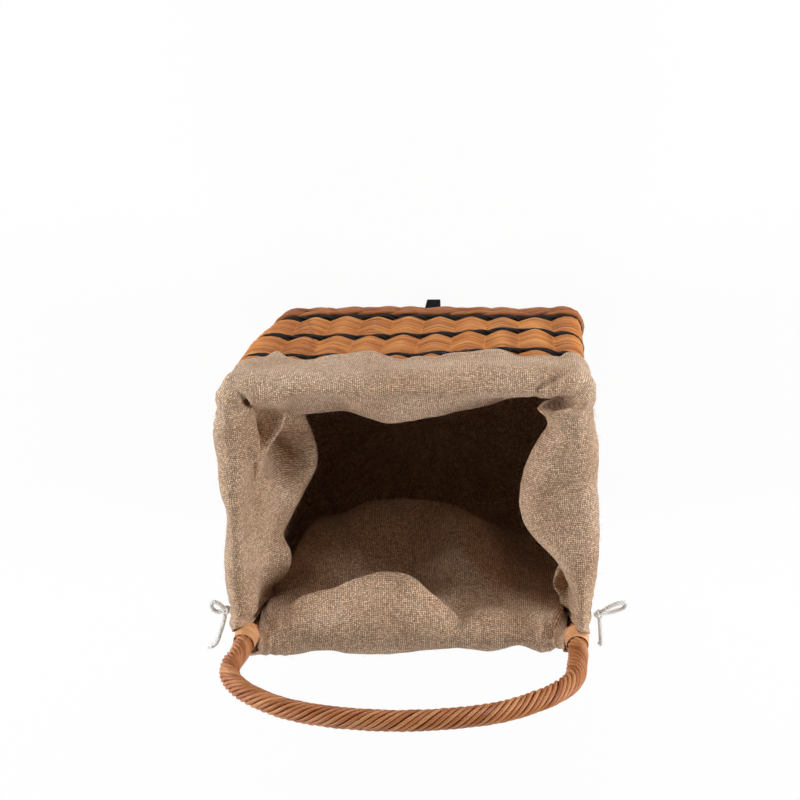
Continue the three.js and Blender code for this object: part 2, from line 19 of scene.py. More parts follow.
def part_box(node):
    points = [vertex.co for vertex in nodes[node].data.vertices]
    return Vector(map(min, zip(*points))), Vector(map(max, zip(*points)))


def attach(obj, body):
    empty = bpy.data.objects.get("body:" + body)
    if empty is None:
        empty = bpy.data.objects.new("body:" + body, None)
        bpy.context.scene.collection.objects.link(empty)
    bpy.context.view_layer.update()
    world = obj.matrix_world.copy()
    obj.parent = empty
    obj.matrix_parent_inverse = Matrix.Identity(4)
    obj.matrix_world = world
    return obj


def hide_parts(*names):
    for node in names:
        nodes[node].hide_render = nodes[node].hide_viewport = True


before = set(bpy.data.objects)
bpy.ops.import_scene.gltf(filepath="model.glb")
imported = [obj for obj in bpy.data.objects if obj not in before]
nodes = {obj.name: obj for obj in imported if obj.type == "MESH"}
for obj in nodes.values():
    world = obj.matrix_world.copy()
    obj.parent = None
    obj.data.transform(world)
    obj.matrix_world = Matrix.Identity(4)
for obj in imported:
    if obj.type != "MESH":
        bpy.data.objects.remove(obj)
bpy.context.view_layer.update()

# %% [markdown]
# ## Camera
#
# The picture was taken from high above the front of the basket, so the front wall is foreshortened at
# the top and the handle comes towards the viewer at the bottom. A camera could be aimed with a
# constraint, but a matrix built from a place and a target is plain, and it can't drift.

# %% Place the camera
CAMERA_PLACE = Vector((-0.16047, -0.70993, 2.48307))
CAMERA_TARGET = Vector((0.01430, -0.10891, 0.40002))
CAMERA_LENS = 83.73
SENSOR_WIDTH = 36
FAR_CLIP = 50
PICTURE_UP = Vector((-0.0262, -0.9997, 0))


def aim(place, target, up):
    """The matrix of a camera or lamp at place that looks at target."""
    forward = (target - place).normalized()
    right = forward.cross(up).normalized()
    above = right.cross(forward)
    turn = Matrix((right, above, -forward)).transposed()
    return Matrix.Translation(place) @ turn.to_4x4()


camera = bpy.data.objects.new("camera", bpy.data.cameras.new("camera"))
camera.data.sensor_width = SENSOR_WIDTH
camera.data.lens = CAMERA_LENS
camera.data.clip_end = FAR_CLIP
camera.matrix_world = aim(CAMERA_PLACE, CAMERA_TARGET, PICTURE_UP)
bpy.context.scene.collection.objects.link(camera)
bpy.context.scene.camera = camera
view = (CAMERA_TARGET - CAMERA_PLACE).normalized()
print("camera looks down", round(math.degrees(math.asin(-view.z))), "degrees")

# %% [markdown]
# ## Light and floor
#
# Soft lamps stand to both sides of the basket, a weaker one behind it, and a low one in front for the
# woven wall. They light the top of the cloth and leave the inside dark, as the picture shows: a lamp
# straight above would light the bottom of the bag too. The floor is near white to the camera and still
# takes the basket's shadow.

# %% Lamps
LIGHT_TARGET = Vector((0, 0, 0.40))
LAMP_DISTANCE = 2.4
LAMP_SIZE = 0.8
LAMP_UP = Vector((0.01, 0, 1))
# Each lamp: the way it stands in, how high it stands over the basket, both in degrees, and its power.
LAMPS = {"front": (-90, 12, 29), "left": (180, 20, 45), "right": (0, 20, 43), "back": (90, 40, 15)}


def soft_lamp(name, way, rise, power):
    """A round area lamp that faces the basket."""
    lamp = bpy.data.lights.new(name, "AREA")
    lamp.shape = "DISK"
    lamp.size = LAMP_SIZE
    lamp.energy = power
    flat = LAMP_DISTANCE * math.cos(math.radians(rise))
    x = flat * math.cos(math.radians(way))
    y = flat * math.sin(math.radians(way))
    z = LIGHT_TARGET.z + LAMP_DISTANCE * math.sin(math.radians(rise))
    made = bpy.data.objects.new(name, lamp)
    made.matrix_world = aim(Vector((x, y, z)), LIGHT_TARGET, LAMP_UP)
    bpy.context.scene.collection.objects.link(made)


for name, (way, rise, power) in LAMPS.items():
    soft_lamp(f"{name}_softbox", way, rise, power)

# %% World and floor
SKY_STRENGTH = 0.05
FLOOR_HALF = 8
FLOOR_TONE = 0.92
FLOOR_GLOW = 0.93


def show_to_camera(tree, lit, white, share, output):
    """Lets the camera, mirrors and glass see a share of the white shader, and other rays the lit one."""
    path = tree.nodes.new("ShaderNodeLightPath")
    total = path.outputs["Is Camera Ray"]
    for ray in ("Is Glossy Ray", "Is Transmission Ray"):
        either = tree.nodes.new("ShaderNodeMath")
        either.operation = "MAXIMUM"
        tree.links.new(total, either.inputs[0])
        tree.links.new(path.outputs[ray], either.inputs[1])
        total = either.outputs[0]
    part = tree.nodes.new("ShaderNodeMath")
    part.operation = "MULTIPLY"
    part.inputs[1].default_value = share
    tree.links.new(total, part.inputs[0])
    mix = tree.nodes.new("ShaderNodeMixShader")
    for number, source in enumerate((part, lit, white)):
        tree.links.new(source.outputs[0], mix.inputs[number])
    tree.links.new(mix.outputs[0], tree.nodes[output].inputs[0])


def light_world():
    """A dim even sky that looks white to the camera."""
    world = bpy.data.worlds.new("studio")
    bpy.context.scene.world = world
    world.use_nodes = True
    tree = world.node_tree
    sky = tree.nodes["Background"]
    sky.inputs["Strength"].default_value = SKY_STRENGTH
    white = tree.nodes.new("ShaderNodeBackground")
    for shader in (sky, white):
        shader.inputs["Color"].default_value = (1, 1, 1, 1)
    show_to_camera(tree, sky, white, 1, "World Output")


def lay_floor():
    """A plain floor, part of whose white is its own to the camera, so that the shadow on it stays soft."""
    mesh = bpy.data.meshes.new("studio_floor")
    corners = [(x * FLOOR_HALF, y * FLOOR_HALF, 0) for x, y in ((-1, -1), (1, -1), (1, 1), (-1, 1))]
    mesh.from_pydata(corners, [], [(0, 1, 2, 3)])
    floor = bpy.data.objects.new("studio_floor", mesh)
    bpy.context.scene.collection.objects.link(floor)
    material = bpy.data.materials.new("studio_floor")
    material.use_nodes = True
    tree = material.node_tree
    matt = tree.nodes["Principled BSDF"]
    matt.inputs["Base Color"].default_value = (FLOOR_TONE, FLOOR_TONE, FLOOR_TONE, 1)
    matt.inputs["Roughness"].default_value = 0.9
    matt.inputs["Specular IOR Level"].default_value = 0.0
    show_to_camera(tree, matt, tree.nodes.new("ShaderNodeEmission"), FLOOR_GLOW, "Material Output")
    mesh.materials.append(material)
    print(floor.name, 2 * FLOOR_HALF, "metres wide")


light_world()
lay_floor()
bpy.context.scene.view_settings.view_transform = "Standard"

# %% [markdown]
# ## Smooth lines and tubes
#
# Nearly everything here is a rod, a strand or a cord: a section carried along a line. Curve objects with
# a bevel would do for plain cords, but a woven rod changes its section where it is squeezed, so the
# tubes are built ring by ring. Each tube keeps its length and girth as a UV map for the wood grain.


# %% Curves through points
def curve_through(points, step):
    """A smooth line through the points (centripetal, so it never loops back), at about step apart."""
    points = [np.array(p, float) for p in points]
    points = [2 * points[0] - points[1], *points, 2 * points[-1] - points[-2]]
    line = []
    for p0, p1, p2, p3 in zip(points, points[1:], points[2:], points[3:]):
        k1 = math.sqrt(np.linalg.norm(p1 - p0))
        k2 = k1 + math.sqrt(np.linalg.norm(p2 - p1))
        k3 = k2 + math.sqrt(np.linalg.norm(p3 - p2))
        count = max(2, round(np.linalg.norm(p2 - p1) / step))
        for t in np.linspace(k1, k2, count, endpoint=False):
            a1 = ((k1 - t) * p0 + t * p1) / k1
            a2 = ((k2 - t) * p1 + (t - k1) * p2) / (k2 - k1)
            a3 = ((k3 - t) * p2 + (t - k2) * p3) / (k3 - k2)
            b1 = ((k2 - t) * a1 + t * a2) / k2
            b2 = ((k3 - t) * a2 + (t - k1) * a3) / (k3 - k1)
            line.append(((k2 - t) * b1 + (t - k1) * b2) / (k2 - k1))
    line.append(points[-2])
    return np.array(line)


def unit(vectors):
    """The vectors scaled to a length of one."""
    return vectors / np.maximum(np.linalg.norm(vectors, axis=-1, keepdims=True), 1e-12)


def tangents(line, closed=False):
    """The direction of the line at each of its points."""
    if closed:
        return unit(np.roll(line, -1, axis=0) - np.roll(line, 1, axis=0))
    return unit(np.gradient(line, axis=0))


def distances(line):
    """How far each point is along the line."""
    steps = np.linalg.norm(np.diff(line, axis=0), axis=1)
    return np.concatenate([[0], np.cumsum(steps)])


def carried_normals(line, start):
    """A direction across the line at each point, carried along with no twist of its own."""
    ways = tangents(line)
    across = np.array(start, float)
    found = []
    for way in ways:
        across = across - way * np.dot(across, way)
        across = across / np.linalg.norm(across)
        found.append(across)
    return np.array(found)


sample = curve_through([(0, 0, 0), (1, 1, 0), (2, 0, 0)], 0.1)
print("a curve through three points is", round(distances(sample)[-1], 2), "long in", len(sample), "points")


# %% Tubes that share a mesh
def new_piece(name, points, faces, uvs=None, tints=None):
    """A smooth mesh object, with the UV map and the tint of each point where they are given."""
    mesh = bpy.data.meshes.new(name)
    mesh.from_pydata(np.asarray(points).tolist(), [], [tuple(f) for f in faces])
    if uvs is not None:
        layer = mesh.uv_layers.new(name="UVMap")
        layer.data.foreach_set("uv", np.asarray(uvs, np.float32).ravel())
    if tints is not None:
        values = mesh.attributes.new("tint", "FLOAT", "POINT")
        values.data.foreach_set("value", np.asarray(tints, np.float32))
    mesh.shade_smooth()
    piece = bpy.data.objects.new(name, mesh)
    bpy.context.scene.collection.objects.link(piece)
    return piece


class Strands:
    """Rods or threads of one piece, each a tube with its own tint."""

    def __init__(self):
        self.points = []
        self.faces = []
        self.uvs = []
        self.tints = []
        self.total = 0

    def add(self, line, across, half_across, half_up, tint, sides=8, closed=False):
        """One tube along the line. across points out of its section, at half_across from the middle."""
        count = len(line)
        ways = tangents(line, closed)
        up = unit(np.cross(across, ways))
        out = np.cross(ways, up)
        turn = np.arange(sides) * 2 * math.pi / sides
        wide = np.broadcast_to(half_across, count)[:, None] * np.cos(turn)
        tall = np.broadcast_to(half_up, count)[:, None] * np.sin(turn)
        rings = line[:, None] + out[:, None] * wide[..., None] + up[:, None] * tall[..., None]
        first = self.total
        self.points.append(rings.reshape(-1, 3))
        self.tints.append(np.repeat(np.broadcast_to(tint, count), sides))
        self.total += count * sides
        along = distances(np.vstack([line, line[:1]]) if closed else line)
        last = count if closed else count - 1
        for i in range(last):
            near = first + i * sides
            far = first + (i + 1) % count * sides
            for j in range(sides):
                k = (j + 1) % sides
                self.faces.append((near + j, far + j, far + k, near + k))
                self.uvs += [(along[i], j / sides), (along[i + 1], j / sides)]
                self.uvs += [(along[i + 1], (j + 1) / sides), (along[i], (j + 1) / sides)]
        if not closed:
            end = first + (count - 1) * sides
            self.faces.append(tuple(range(first, first + sides)))
            self.faces.append(tuple(range(end + sides - 1, end - 1, -1)))
            self.uvs += [(along[0], j / sides) for j in range(sides)]
            self.uvs += [(along[-1], j / sides) for j in reversed(range(sides))]

    def make(self, name):
        """The piece, with all the tubes added so far."""
        return new_piece(name, np.vstack(self.points), self.faces, self.uvs, np.concatenate(self.tints))


def dress(piece, material, body="basket", replaced=()):
    """Gives a piece its material and its body, and hides the nodes that it stands for."""
    piece.data.materials.clear()
    piece.data.materials.append(material)
    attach(piece, body)
    if replaced:
        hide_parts(*replaced)
    print(f"{piece.name}: {len(piece.data.polygons)} faces, on {body}")
    return piece


tube = Strands()
tube.add(sample, carried_normals(sample, (0, 0, 1)), 0.1, 0.1, 0.5)
print("a tube along that curve has", len(tube.faces), "faces")

# %% [markdown]
# ## Finishes
#
# Every finish is made of nodes, so it has no picture files and follows the mesh at any scale. Each one
# starts from the shader called Principled BSDF. A small helper adds nodes and joins them, so that a
# finish below reads as a recipe: where the colour comes from, then the roughness, then the bump.


# %% A helper for finishes
def linear(red, green, blue):
    """A colour as it looks on a screen, from 0 to 255, as the numbers that the shader takes."""
    shares = (red / 255, green / 255, blue / 255)
    return tuple(((v + 0.055) / 1.055) ** 2.4 if v > 0.04 else v / 12.92 for v in shares)


class Finish:
    """A material in the making. Values that hold all over the surface go straight to the shader."""

    def __init__(self, name, **values):
        self.material = bpy.data.materials.new(name)
        self.material.use_nodes = True
        self.tree = self.material.node_tree
        self.shader = self.tree.nodes["Principled BSDF"]
        for socket, value in values.items():
            self.shader.inputs[socket.replace("_", " ")].default_value = value

    def node(self, kind, inputs=(), **settings):
        """Adds a node. inputs maps a socket's name or number to a value or to another socket."""
        made = self.tree.nodes.new(kind)
        for key, value in settings.items():
            setattr(made, key, value)
        for key, value in dict(inputs).items():
            if isinstance(value, bpy.types.NodeSocket):
                self.tree.links.new(value, made.inputs[key])
            else:
                made.inputs[key].default_value = value
        return made

    def math(self, operation, *values):
        """The result of a sum on values or sockets."""
        return self.node("ShaderNodeMath", enumerate(values), operation=operation).outputs[0]

    def place(self, source="Object"):
        """Where a point is, in the object's own space or on its UV map."""
        return self.node("ShaderNodeTexCoord").outputs[source]

    def noise(self, vector, scale, detail, rough=0.55):
        """Noise at the place given by the vector, with a scale along each axis."""
        placed = self.node("ShaderNodeMapping", {"Vector": vector, "Scale": scale}).outputs[0]
        inputs = {"Vector": placed, "Scale": 1.0, "Detail": detail, "Roughness": rough}
        return self.node("ShaderNodeTexNoise", inputs).outputs[0]

    def tint(self):
        """The tint that each rod keeps on its points."""
        return self.node("ShaderNodeAttribute", attribute_name="tint").outputs["Fac"]

    def ramp(self, factor, *stops):
        """A colour for the factor, from stops of (place, colour on the screen)."""
        made = self.node("ShaderNodeValToRGB", {"Fac": factor})
        bands = made.color_ramp.elements
        while len(bands) < len(stops):
            bands.new(0.5)
        for band, (at, colour) in zip(bands, stops):
            band.position = at
            band.color = (*linear(*colour), 1)
        return made.outputs["Color"]

    def range(self, factor, low, high, to_low=0.0, to_high=1.0):
        """The factor, moved from one range of values to another."""
        inputs = {"Value": factor, 1: low, 2: high, 3: to_low, 4: to_high}
        return self.node("ShaderNodeMapRange", inputs).outputs[0]

    def shade(self, colour, factor):
        """The colour, darkened where the factor is below one."""
        scaled = self.node("ShaderNodeVectorMath", {0: colour, "Scale": factor}, operation="SCALE")
        return scaled.outputs[0]

    def blend(self, factor, first, second):
        """The first colour where the factor is 0, and the second where it is 1."""
        made = self.node("ShaderNodeMix", {"Factor": factor}, data_type="RGBA")
        for socket, value in zip([s for s in made.inputs if s.type == "RGBA"], (first, second)):
            if isinstance(value, bpy.types.NodeSocket):
                self.tree.links.new(value, socket)
            else:
                socket.default_value = (*linear(*value), 1)
        return [s for s in made.outputs if s.type == "RGBA"][0]

    def colour(self, socket):
        """Sends a colour to the shader."""
        self.tree.links.new(socket, self.shader.inputs["Base Color"])

    def roughness(self, factor, low, high):
        """Roughness between two values, as the factor goes through the middle of its range."""
        self.tree.links.new(self.range(factor, 0.25, 0.75, low, high), self.shader.inputs["Roughness"])

    def bump(self, height, distance, strength):
        """Tilts the surface as if it rose by the height times the distance."""
        inputs = {"Height": height, "Distance": distance, "Strength": strength}
        made = self.node("ShaderNodeBump", inputs)
        self.tree.links.new(made.outputs[0], self.shader.inputs["Normal"])


print("white is", linear(255, 255, 255))

# %% [markdown]
# ### Willow
#
# Buff willow is boiled and peeled, so it is orange brown, with long fine grain, a few small dark knots
# and rods that differ from each other. The rod's own UV map stretches the noise along the grain, and the
# tint stored on each rod picks its colour.

# %% Willow finishes
# Each finish: a dark, a middle and a pale colour, the least roughness, the shine, and whether it has knots.
WILLOWS = {
    "buff_willow": ((156, 84, 30), (200, 122, 50), (224, 158, 84), 0.48, 0.35, True),
    "border_willow": ((122, 64, 28), (158, 90, 44), (192, 126, 70), 0.46, 0.3, True),
    "rope_willow": ((142, 78, 38), (176, 108, 60), (204, 142, 92), 0.40, 0.4, True),
    "black_willow": ((14, 12, 12), (22, 19, 19), (34, 30, 29), 0.6, 0.15, False),
}
KNOT_COLOUR = (52, 26, 14)


def willow_finish(name, dark, middle, pale, rough, shine, knots):
    """Round rods with grain along them. The three colours are picked by each rod's tint."""
    finish = Finish(name, Coat_Weight=0.12 * shine, Coat_Roughness=0.3, Specular_IOR_Level=shine)
    length = finish.place("UV")
    grain = finish.noise(length, (55, 9, 1), 5.0, 0.6)
    mottle = finish.noise(length, (22, 1.5, 1), 2.0)
    shift = finish.math("MULTIPLY_ADD", finish.math("SUBTRACT", mottle, 0.5), 0.75, finish.tint())
    base = finish.ramp(shift, (0.05, dark), (0.5, middle), (0.95, pale))
    colour = finish.shade(base, finish.range(grain, 0.3, 0.7, 0.84, 1.12))
    if knots:
        spots = finish.noise(length, (70, 4.5, 1), 1.0)
        colour = finish.blend(finish.range(spots, 0.735, 0.79), colour, KNOT_COLOUR)
    finish.colour(colour)
    finish.roughness(grain, rough, rough + 0.16)
    finish.bump(grain, 0.0004, 0.35)
    return finish.material


def skein_finish():
    """Split and shaved willow: pale and a little mottled, with straight fibres."""
    finish = Finish("peeled_willow", Coat_Weight=0.08, Coat_Roughness=0.3)
    length = finish.place("UV")
    fibre = finish.noise(length, (24, 34, 1), 4.0)
    mottle = finish.noise(length, (60, 3, 1), 2.0)
    base = finish.ramp(mottle, (0.3, (214, 148, 98)), (0.5, (230, 168, 118)), (0.7, (238, 184, 138)))
    finish.colour(finish.shade(base, finish.range(fibre, 0.3, 0.7, 0.82, 1.08)))
    finish.roughness(fibre, 0.42, 0.6)
    finish.bump(fibre, 0.0004, 0.5)
    return finish.material


willow = {name: willow_finish(name, *recipe) for name, recipe in WILLOWS.items()}
peeled_willow = skein_finish()
print("willow finishes", *willow, peeled_willow.name)

# %% [markdown]
# ### Finishes with one noise
#
# Most other surfaces are simpler: cloudy metal, dusty rubber, straight grain or fibres. In all of them one
# noise, stretched along the grain where there is any, moves the colour and the roughness together, and the
# same noise or a finer one gives the bump. One recipe with different numbers covers them.


# %% One noise for a finish
def noisy_finish(name, scale, detail, stops, bump, rough=None, source="Object", relief=None, **values):
    """A finish whose colour and roughness follow a noise, with its scale along each axis and its detail.
    bump is a distance and a strength. relief is the scale and detail of a finer noise for the bump."""
    finish = Finish(name, **values)
    place = finish.place(source)
    cloud = finish.noise(place, scale, detail)
    finish.colour(finish.ramp(cloud, *stops))
    if rough:
        finish.roughness(cloud, *rough)
    finish.bump(finish.noise(place, *relief) if relief else cloud, *bump)
    return finish.material


cotton = noisy_finish(
    "white_cotton", scale=(900, 14, 1), detail=3, stops=[(0.3, (218, 216, 211)), (0.7, (247, 246, 243))],
    bump=(0.0003, 0.6), source="UV", Roughness=0.9, Sheen_Weight=0.25, Sheen_Roughness=0.5,
)
print("finish", cotton.name)

# %% [markdown]
# ### Jute
#
# Hessian is an open plain weave of coarse thread: about eleven threads to 25 mm, with holes where
# four of them meet and thick places in single threads. Two sine waves across the cloth's UV map, which
# is in metres, give the threads. Their product says which of the two lies on top. The colour is darkened
# where the threads dip, which is painted shade in the holes and on their sides, and lightened on their
# crowns, which is painted light.

# %% Weave the jute
THREAD_PITCH = 0.0022


def jute_finish():
    """Hessian whose threads follow the UV map, with slubs, loose fibres and holes, painted shade where the
    threads dip and painted light on their crowns.
    """
    finish = Finish(
        "jute_hessian", Roughness=0.92, Sheen_Weight=0.12, Sheen_Roughness=0.6, Specular_IOR_Level=0.15,
    )
    cloth = finish.place("UV")
    sway = finish.noise(cloth, (60, 60, 1), 2.0)
    parts = finish.node("ShaderNodeSeparateXYZ", {0: cloth})
    waves = []
    numbers = []
    for axis in (0, 1):
        run = finish.math("MULTIPLY", parts.outputs[axis], math.pi / THREAD_PITCH)
        bent = finish.math("MULTIPLY_ADD", sway, 6.0, run)
        waves.append(finish.math("SINE", bent))
        numbers.append(finish.math("FLOOR", finish.math("DIVIDE", bent, math.pi)))
    crossing = finish.node("ShaderNodeCombineXYZ", enumerate(numbers)).outputs[0]
    own = finish.node("ShaderNodeTexWhiteNoise", {"Vector": crossing}).outputs["Value"]
    warp = finish.math("ABSOLUTE", waves[0])
    weft = finish.math("ABSOLUTE", waves[1])
    upper = finish.math("MULTIPLY_ADD", finish.math("MULTIPLY", waves[0], waves[1]), 0.5, 0.5)
    warp_high = finish.math("MULTIPLY", warp, finish.math("MULTIPLY_ADD", upper, 0.6, 0.4))
    weft_high = finish.math("MULTIPLY", weft, finish.math("MULTIPLY_ADD", upper, -0.6, 1.0))
    height = finish.math("MAXIMUM", warp_high, weft_high)
    slub_warp = finish.noise(cloth, (430, 40, 1), 2.0)
    slub_weft = finish.noise(cloth, (40, 430, 1), 2.0)
    slub = finish.math("MULTIPLY", finish.math("ADD", slub_warp, slub_weft), 0.5)
    patch = finish.noise(cloth, (14, 14, 1), 3.0)
    tone = finish.math("ADD", finish.math("MULTIPLY", slub, 0.5), finish.math("MULTIPLY", patch, 0.5))
    base = finish.ramp(tone, (0.34, (206, 165, 130)), (0.5, (243, 203, 168)), (0.66, (254, 224, 193)))
    speckle = finish.noise(cloth, (480, 480, 1), 1.0)
    # The first factor is painted shade and light: dark in the holes and on the threads' sides, light on
    # their crowns. The second and fourth give random tone, and the third darkens the crossings where the
    # weft lies on top.
    painted_shade_and_tone = [
        finish.range(height, 0.30, 0.80, 0.16, 1.10), finish.range(speckle, 0.3, 0.7, 0.62, 1.16),
        finish.range(upper, 0.0, 0.6, 0.84, 1.02), finish.range(own, 0.0, 1.0, 0.62, 1.16),
    ]
    colour = base
    for factor in painted_shade_and_tone:
        colour = finish.shade(colour, factor)
    finish.colour(colour)
    fibre = finish.noise(cloth, (2600, 2600, 1), 2.0)
    relief = finish.math("MULTIPLY_ADD", fibre, 0.25, height)
    finish.bump(relief, 0.0006, 0.7)
    return finish.material


hessian = jute_finish()
print("finish", hessian.name)

# %% [markdown]
# ## Ties
#
# At each back corner a white cotton cord is tied in a small bow through the turned-over cloth: one loop
# and one loose tail, which ends in a knot and a frayed tip. The tube is lobed like three strands laid
# together, and the lobes turn as they run, which reads as twist.

# %% Routes of the ties
# The three strands reach a little further out than a smooth cord of the same thickness.
TIE_RADIUS = 0.0027
TIE_LAY = 0.011
STRAND_SHARE = 0.54
TIE_STEP = 0.0008
BOW_KNOT = 0.0048
END_KNOT = 0.0032
# Shares of a knot's size: how far its loops reach, how much that varies, how they rise, and its cord.
KNOT_REACH = 0.55
KNOT_SWING = 0.30
KNOT_RISE = 0.42
KNOT_CORD = 0.36
KNOT_POINTS = 60
FRAY_THREADS = 16
FRAY_SPREAD = 0.0021
FRAY_LENGTHS = (0.004, 0.0075)
FRAY_THREAD = 0.00028
TIE_KNOTS = {"left": (-0.2149, 0.1221, 0.4900), "right": (0.2163, 0.1189, 0.4900)}
TIE_ROUTES = {
    "right_tie_loop": [
        (0.2200, 0.1155, 0.4905), (0.2250, 0.1099, 0.4915), (0.2310, 0.1087, 0.4910),
        (0.2340, 0.1131, 0.4895), (0.2320, 0.1195, 0.4880), (0.2265, 0.1223, 0.4875),
        (0.2211, 0.1207, 0.4880),
    ],
    "right_tie_tail": [
        (0.2180, 0.1236, 0.4905), (0.2195, 0.1310, 0.4915), (0.2220, 0.1390, 0.4915),
        (0.2255, 0.1480, 0.4905), (0.2285, 0.1565, 0.4885), (0.2320, 0.1630, 0.4865),
        (0.2360, 0.1660, 0.4850),
    ],
    "left_tie_loop": [
        (-0.2186, 0.1187, 0.4905), (-0.2270, 0.1121, 0.4920), (-0.2380, 0.1076, 0.4915),
        (-0.2455, 0.1086, 0.4890), (-0.2445, 0.1146, 0.4865), (-0.2350, 0.1191, 0.4860),
        (-0.2260, 0.1213, 0.4865), (-0.2198, 0.1217, 0.4880),
    ],
    "left_tie_tail": [
        (-0.2162, 0.1269, 0.4905), (-0.2168, 0.1351, 0.4915), (-0.2174, 0.1451, 0.4915),
        (-0.2178, 0.1541, 0.4885), (-0.2180, 0.1611, 0.4820), (-0.2180, 0.1651, 0.4730),
    ],
}


def twisted_cord(line):
    """Three thin strands laid round the line, which together reach out to the tie's radius."""
    strands = Strands()
    across = carried_normals(line, (0, 0, 1))
    other = np.cross(tangents(line), across)
    strand = TIE_RADIUS * STRAND_SHARE
    for lobe in range(3):
        turn = distances(line) / TIE_LAY * 2 * math.pi + lobe * 2 * math.pi / 3
        out = across * np.cos(turn)[:, None] + other * np.sin(turn)[:, None]
        strands.add(line + out * (TIE_RADIUS - strand), out, strand, strand * 1.08, 0.5, sides=7)
    return strands


def tie_knot(name, middle, size, turned):
    """An overhand knot: a trefoil of cord, pressed nearly flat."""
    turn = np.linspace(0, 2 * math.pi, KNOT_POINTS, endpoint=False)
    reach = size * (KNOT_REACH + KNOT_SWING * np.cos(3 * turn))
    rise = size * KNOT_RISE * np.sin(3 * turn)
    flat = np.stack([reach * np.cos(2 * turn), reach * np.sin(2 * turn), rise], axis=1)
    rotation = np.array(Matrix.Rotation(turned, 3, "Y") @ Matrix.Rotation(0.6, 3, "X"))
    line = flat @ rotation.T + np.array(middle)
    strands = Strands()
    outward = unit(line - np.array(middle) + 1e-6)
    strands.add(line, outward, size * KNOT_CORD, size * KNOT_CORD, 0.5, closed=True)
    return dress(strands.make(name), cotton)


def frayed_tip(name, end, way, draw):
    """The cut end of a cord, opened into a brush of threads."""
    strands = Strands()
    for _ in range(FRAY_THREADS):
        spread = np.array([draw.uniform(-1, 1) for _ in range(3)]) * FRAY_SPREAD
        reach = way * draw.uniform(*FRAY_LENGTHS)
        line = curve_through([end, end + reach * 0.5 + spread * 0.35, end + reach + spread], 0.0012)
        across = carried_normals(line, (0.3, 0.2, 1))
        strands.add(line, across, FRAY_THREAD, FRAY_THREAD, 0.6, sides=4)
    return dress(strands.make(name), cotton)


def make_ties():
    """Both bows, each with its knot, and the end knot and brush of each tail."""
    draw = random.Random(3)
    for side, sign in (("left", -1), ("right", 1)):
        bow_knot = tie_knot(f"{side}_bow_knot", TIE_KNOTS[side], BOW_KNOT, 0.4 * sign)
        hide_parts(f"{side}_tie_knot")
        for part in ("loop", "tail"):
            name = f"{side}_tie_{part}"
            line = curve_through(TIE_ROUTES[name], TIE_STEP)
            strands = twisted_cord(line)
            cord = dress(strands.make(f"{side}_cord_{part}"), cotton, replaced=[name])
            pieces = [bow_knot]
            if part == "tail":
                way = tangents(line)[-1]
                end_knot = tie_knot(f"{side}_tail_knot", line[-1], END_KNOT, 0.9)
                pieces = [end_knot, frayed_tip(f"{side}_tail_fray", line[-1], way, draw)]


make_ties()

# %% [markdown]
# ## The ring of stakes
#
# A basket's weaver works round a ring of upright stakes, and every woven rod is described by where it is
# along that ring: outside one stake, inside the next. So the ring comes first, as a rounded rectangle
# that can be asked for any point, with a count of stakes that runs smoothly from one to the next.

# %% The ring
RING_X = 0.186
RING_Y = 0.1385
RING_CORNER = 0.020
GROWTH_X = 0.0506
GROWTH_Y = 0.060
WALL_NAMES = ("right", "back", "left", "front")
RIGHT_WALL, BACK_WALL, LEFT_WALL, FRONT_WALL = range(4)
STAKES_PER_WALL = (5, 8, 5, 8)
ARC = RING_CORNER * math.pi / 2
WALL_RUNS = (2 * (RING_Y - RING_CORNER), 2 * (RING_X - RING_CORNER)) * 2
PERIMETER = sum(WALL_RUNS) + 4 * ARC
POST_X = RING_X - RING_CORNER * (1 - math.sqrt(0.5))
POST_Y = RING_Y - RING_CORNER * (1 - math.sqrt(0.5))


def ring_place(along):
    """Point, outward direction, wall number and place on that wall, for distances along the ring.
    The ring starts at the front right corner post and runs past the right, back, left and front walls."""
    along = np.asarray(along, float) % PERIMETER
    point = np.zeros((len(along), 2))
    normal = np.zeros((len(along), 2))
    wall = np.zeros(len(along), int)
    slide = np.zeros(len(along))
    start = 0.0
    for number, run in enumerate(WALL_RUNS):
        here = (along >= start) & (along < start + run + ARC)
        t = along[here] - start - ARC / 2
        bend = np.where(t < 0, t, np.where(t > run, t - run, 0)) / RING_CORNER
        face = number * math.pi / 2
        reach = (RING_X, RING_Y)[number % 2] - RING_CORNER
        across = np.clip(t, 0, run) - run / 2
        normal[here, 0] = np.cos(face + bend)
        normal[here, 1] = np.sin(face + bend)
        point[here, 0] = reach * math.cos(face) - across * math.sin(face) + RING_CORNER * normal[here, 0]
        point[here, 1] = reach * math.sin(face) + across * math.cos(face) + RING_CORNER * normal[here, 1]
        wall[here] = number
        slide[here] = t - run / 2
        start += run + ARC
    return point, normal, wall, slide


print("ring", round(PERIMETER * 1000), "mm")


# %% Stakes on the ring
def stake_marks():
    """The distance along the ring of every post and stake, in order."""
    marks = []
    start = 0.0
    for number, (run, count) in enumerate(zip(WALL_RUNS, STAKES_PER_WALL)):
        post = (POST_Y, POST_X)[number % 2]
        marks.append(start)
        for i in range(1, count + 1):
            marks.append(start + ARC / 2 + run / 2 + post * (2 * i / (count + 1) - 1))
        start += run + ARC
    return np.array(marks)


STAKE_MARKS = stake_marks()
STAKE_COUNT = len(STAKE_MARKS)


def stake_number(along):
    """How many stakes have been passed, with fractions between them."""
    knots = np.append(STAKE_MARKS, PERIMETER)
    return np.interp(np.asarray(along) % PERIMETER, knots, np.arange(STAKE_COUNT + 1))


CORNER_MARKS = STAKE_MARKS[np.cumsum((0, *(count + 1 for count in STAKES_PER_WALL[:3])))]
BACK_CORNERS = CORNER_MARKS[1:3]
FRONT_CORNERS = CORNER_MARKS[[0, 3]]


